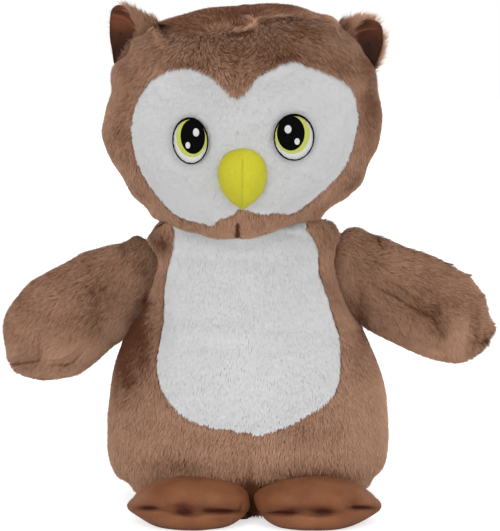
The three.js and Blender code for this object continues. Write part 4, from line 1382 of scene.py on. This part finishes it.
def foot_place(hand, inset):
    side = SIDES[hand]

    def place(around, down):
        cos, sin = np.cos(around), np.sin(around)
        outer = np.clip(cos * side, 0, 1) ** 2
        inner = np.clip(-cos * side, 0, 1) ** 2
        power = 2.15 - 0.5 * outer + FOOT_INNER[hand] * inner
        plan = np.where(cos * side > 0, 2.0, 2.3)
        level = np.cos(down)
        reach = eased(np.sin(down), power)
        climb = (np.where(level > 0, FOOT_RISE - 3, FOOT_DROP) - inset) * eased(level, power)
        dimples = np.maximum(-sin, 0) * (0.6 + 0.4 * np.cos(6 * (around + math.pi / 2)))
        pinch = 3.0 * dimples * bell(climb / 6)
        long = np.where(sin < 0, FOOT_FRONT, FOOT_REAR)
        wide = FOOT_HALF[hand] + 2.5 * outer
        return np.stack([
            FOOT_X[hand] + reach * (wide - inset - pinch) * eased(cos, plan),
            FOOT_Y + reach * (long - inset - pinch) * eased(sin, plan),
            np.maximum(FOOT_SEAM - 2.5 * outer * np.sin(down) + climb, FLOOR_GAP + inset),
        ], -1)

    return place


foot_pulls = {
    "right": [(130, 500, -1, 4, 12), (250, 508, 3, 1, 13)],
    "left": [(380, 500, 1, 4, 12), (254, 508, 3, 2, 12), (350, 478, 2, 0, 12)],
}
# The seam's line and the gathers, then the swellings, then the painted shades and highlights
foot_folds = {
    "right": (
        [
            ([(128, 507), (150, 509), (172, 513), (198, 516), (225, 513), (250, 513)], 1.2, 1.6),
            ([(136, 507), (157, 508)], 2.4, 3.4), ([(172, 508), (194, 514)], 3.6, 5.4),
            ([(206, 512), (240, 512)], 2.8, 3.0), ([(178, 492), (183, 506)], 1.0, 5.0),
            ([(206, 494), (204, 506)], 0.8, 4.0), ([(243, 504), (241, 514)], 1.4, 2.0),
        ],
        [(160, 498, 1.5, 14, 7), (207, 499, 1.0, 12, 6), (232, 500, 0.8, 9, 7), (185, 523, 1.5, 30, 4)],
        [
            (184, 512.5, 0.8, 9, 2.6), (183, 505, 0.3, 12, 8), (147, 508.5, 1.0, 12, 2.8),
            (224, 511.5, 1.0, 17, 2.6), (207, 510, 0.5, 9, 4), (186, 518.5, -0.16, 16, 2), (222, 517, -0.12, 18, 2),
            (148, 513, -0.1, 12, 2), (150, 502, 0.12, 12, 5), (222, 506, 0.2, 14, 5), (205, 500, 0.08, 8, 8),
            (241, 509, 0.25, 4, 5), (198, 486, -0.1, 50, 8), (190, 509, 0.2, 56, 7), (192, 525, -0.35, 50, 4.5),
        ],
    ),
    "left": (
        [
            ([(255, 511), (275, 516), (300, 514), (322, 516), (340, 513)], 1.2, 1.6),
            ([(262, 515), (292, 514)], 2.6, 2.8), ([(314, 512), (336, 513)], 3.6, 4.6),
            ([(300, 512), (322, 513)], 1.6, 3.0), ([(336, 517), (346, 510), (350, 500)], 0.8, 2.2),
            ([(348, 509), (380, 506)], 3.0, 2.8), ([(351, 496), (358, 508)], 2.4, 4.5),
            ([(296, 492), (303, 505)], 0.9, 5.0), ([(275, 502), (278, 510)], 0.6, 4.0),
        ],
        [(285, 500, 1.4, 14, 7), (343, 509, 2.0, 4, 8), (325, 501, 0.8, 12, 6), (310, 524, 1.5, 34, 4)],
        [
            (281, 513.5, 1.0, 14, 2.6), (292, 510, 0.45, 9, 4), (325, 512.5, 0.85, 10, 2.6), (306, 509, 0.3, 20, 6),
            (356, 503, 0.4, 5, 7), (366, 508, 1.0, 14, 2.6), (278, 520, -0.12, 14, 2), (322, 519, -0.14, 14, 2),
            (364, 514, -0.1, 12, 2), (277, 509, 0.2, 12, 5), (303, 498, 0.1, 9, 6), (310, 484, -0.1, 44, 7),
            (315, 509, 0.2, 58, 7), (315, 524, -0.35, 46, 4.5),
        ],
    ),
}
for hand, side in SIDES.items():
    foot = nudged(swollen(foot_place(hand, 0), 400, 220), foot_pulls[hand])
    px = seen(foot.v)
    front = smooth(-foot.v[:, 1], 70, 90)
    lines, swells, shades = foot_folds[hand]
    folds = along_lines(px, lines) * front
    # Painted shade in the folds and the gathers' pits, and painted highlights along the rolls
    foot.painted_shade_and_highlight = np.clip(0.05 * folds + front * at_spots(px, shades), -0.3, 1.0)
    around_seam = bell((foot.v[:, 2] - FOOT_SEAM) / 1.6) * (1 - front)
    foot.moved(-0.8 * around_seam - folds + front * at_spots(px, swells) + 0.5 * noise(foot.v, 14, 3 + side))
    foot.v[:, 2] = np.maximum(foot.v[:, 2], FLOOR_GAP)
    foot.refresh()
    middle = foot.middles()
    for what, chosen in (("upper", middle[:, 2] > FOOT_SEAM), ("sole", middle[:, 2] <= FOOT_SEAM)):
        node = f"foot_{hand}_{what}"
        obj = skin_object(f"{node}_satin", foot.part(chosen), feet_satin)
        dressed(obj, f"foot_{hand}", node)

# Fillings


def filled(name, surface, body_name, node, inset, root=None):
    surface.moved(-inset + 0.8 * noise(surface.v, 16, 9))
    surface.v[:, 2] = np.maximum(surface.v[:, 2], 2.0)
    obj = skin_object(name, surface, filling)
    if root:
        bent(obj, "body", body_name, *root, "stuffing", node)
    else:
        dressed(obj, body_name, node)


filled("body_filling", nudged(swollen(sack_place, 80, 60), body_pulls), "body", "body_stuffing", PILE + 4)
filled("head_filling", swollen(head_place, 80, 60), "head", "head_stuffing", PILE + 5)
filled("beak_filling", swollen(beak_place(3.0), 40, 24), "head", "beak_stuffing", 0.6)
for hand, side in SIDES.items():
    inner = nudged(swollen(wing_place(hand, 7, 5), 48, 30), wing_pulls[hand])
    filled(f"wing_{hand}_filling", inner, f"wing_{hand}", f"wing_{hand}_stuffing", 4, wing_roots[hand])
    filled(f"foot_{hand}_filling", swollen(foot_place(hand, 7), 48, 30), f"foot_{hand}", f"foot_{hand}_stuffing", 1.5)

# Floor, light and camera

floor_nodes = Nodes("pale_floor", 0.9, 0.0, 0.1)
floor_nodes.colour(floor_nodes.ramp(floor_nodes.noise(0.8, 2), [(0.3, 0xF2F2F2), (0.7, 0xF8F8F8)]))
camera_ray = floor_nodes.node("ShaderNodeLightPath").outputs["Is Camera Ray"]
floor_nodes.shader.inputs["Emission Color"].default_value = (1, 1, 1, 1)
floor_nodes.tree.links.new(
    floor_nodes.maths("MULTIPLY", camera_ray, 0.6), floor_nodes.shader.inputs["Emission Strength"]
)
floor_mesh = bpy.data.meshes.new("floor")
floor_mesh.from_pydata([(-6, -6, 0), (6, -6, 0), (6, 6, 0), (-6, 6, 0)], [], [(0, 1, 2, 3)])
floor_mesh.materials.append(floor_nodes.material)
floor = bpy.data.objects.new("floor", floor_mesh)
bpy.context.scene.collection.objects.link(floor)

world = bpy.data.worlds.new("studio")
bpy.context.scene.world = world
world.use_nodes = True
tree = world.node_tree
tree.nodes.clear()


def world_node(kind, *sources, **settings):
    made = tree.nodes.new(kind)
    for index, source in enumerate(sources):
        tree.links.new(source, made.inputs[index])
    for key, value in settings.items():
        setattr(made, key, value)
    return made


# The background is white to the camera, and lights the owl a little less
path = world_node("ShaderNodeLightPath").outputs
seen_ray = world_node("ShaderNodeMath", path["Is Camera Ray"], path["Is Glossy Ray"], operation="MAXIMUM")
through = world_node("ShaderNodeMath", seen_ray.outputs[0], path["Is Transmission Ray"], operation="MAXIMUM")
strength = world_node("ShaderNodeMapRange", through.outputs[0])
strength.inputs["To Min"].default_value = 0.82
strength.inputs["To Max"].default_value = 1.0
background = world_node("ShaderNodeBackground")
background.inputs["Color"].default_value = (1, 1, 1, 1)
tree.links.new(strength.outputs["Result"], background.inputs["Strength"])
world_node("ShaderNodeOutputWorld", background.outputs[0])


def lamp(name, place, aim, size, power):
    data = bpy.data.lights.new(name, "AREA")
    data.shape, data.size, data.energy = "DISK", size, power
    made = bpy.data.objects.new(name, data)
    made.location = place
    made.rotation_euler = (Vector(aim) - Vector(place)).to_track_quat("-Z", "Y").to_euler()
    bpy.context.scene.collection.objects.link(made)


lamp("key", (-0.8, -1.9, 0.75), (0, 0, 0.2), 1.0, 8.5)
lamp("top", (0, -0.5, 1.7), (0, 0, 0.25), 1.2, 3.2)
lamp("fill", (1.2, -1.7, 0.6), (0, 0, 0.2), 1.2, 5.0)

camera_data = bpy.data.cameras.new("camera")
camera = bpy.data.objects.new("camera", camera_data)
bpy.context.scene.collection.objects.link(camera)
back = Vector((0, -COS, SIN))
camera.location = Vector(AIM * METRES) + back * DISTANCE * METRES
camera.rotation_euler = (-back).to_track_quat("-Z", "Y").to_euler()
camera_data.sensor_width = 36.0
camera_data.lens = 36.0 * FOCAL / max(FRAME)
camera_data.shift_x = (FRAME[0] / 2 - CENTRE[0]) / max(FRAME)
camera_data.shift_y = (CENTRE[1] - FRAME[1] / 2) / max(FRAME)
camera_data.clip_start, camera_data.clip_end = 0.05, 20
bpy.context.scene.camera = camera
bpy.context.scene.view_settings.view_transform = "Standard"
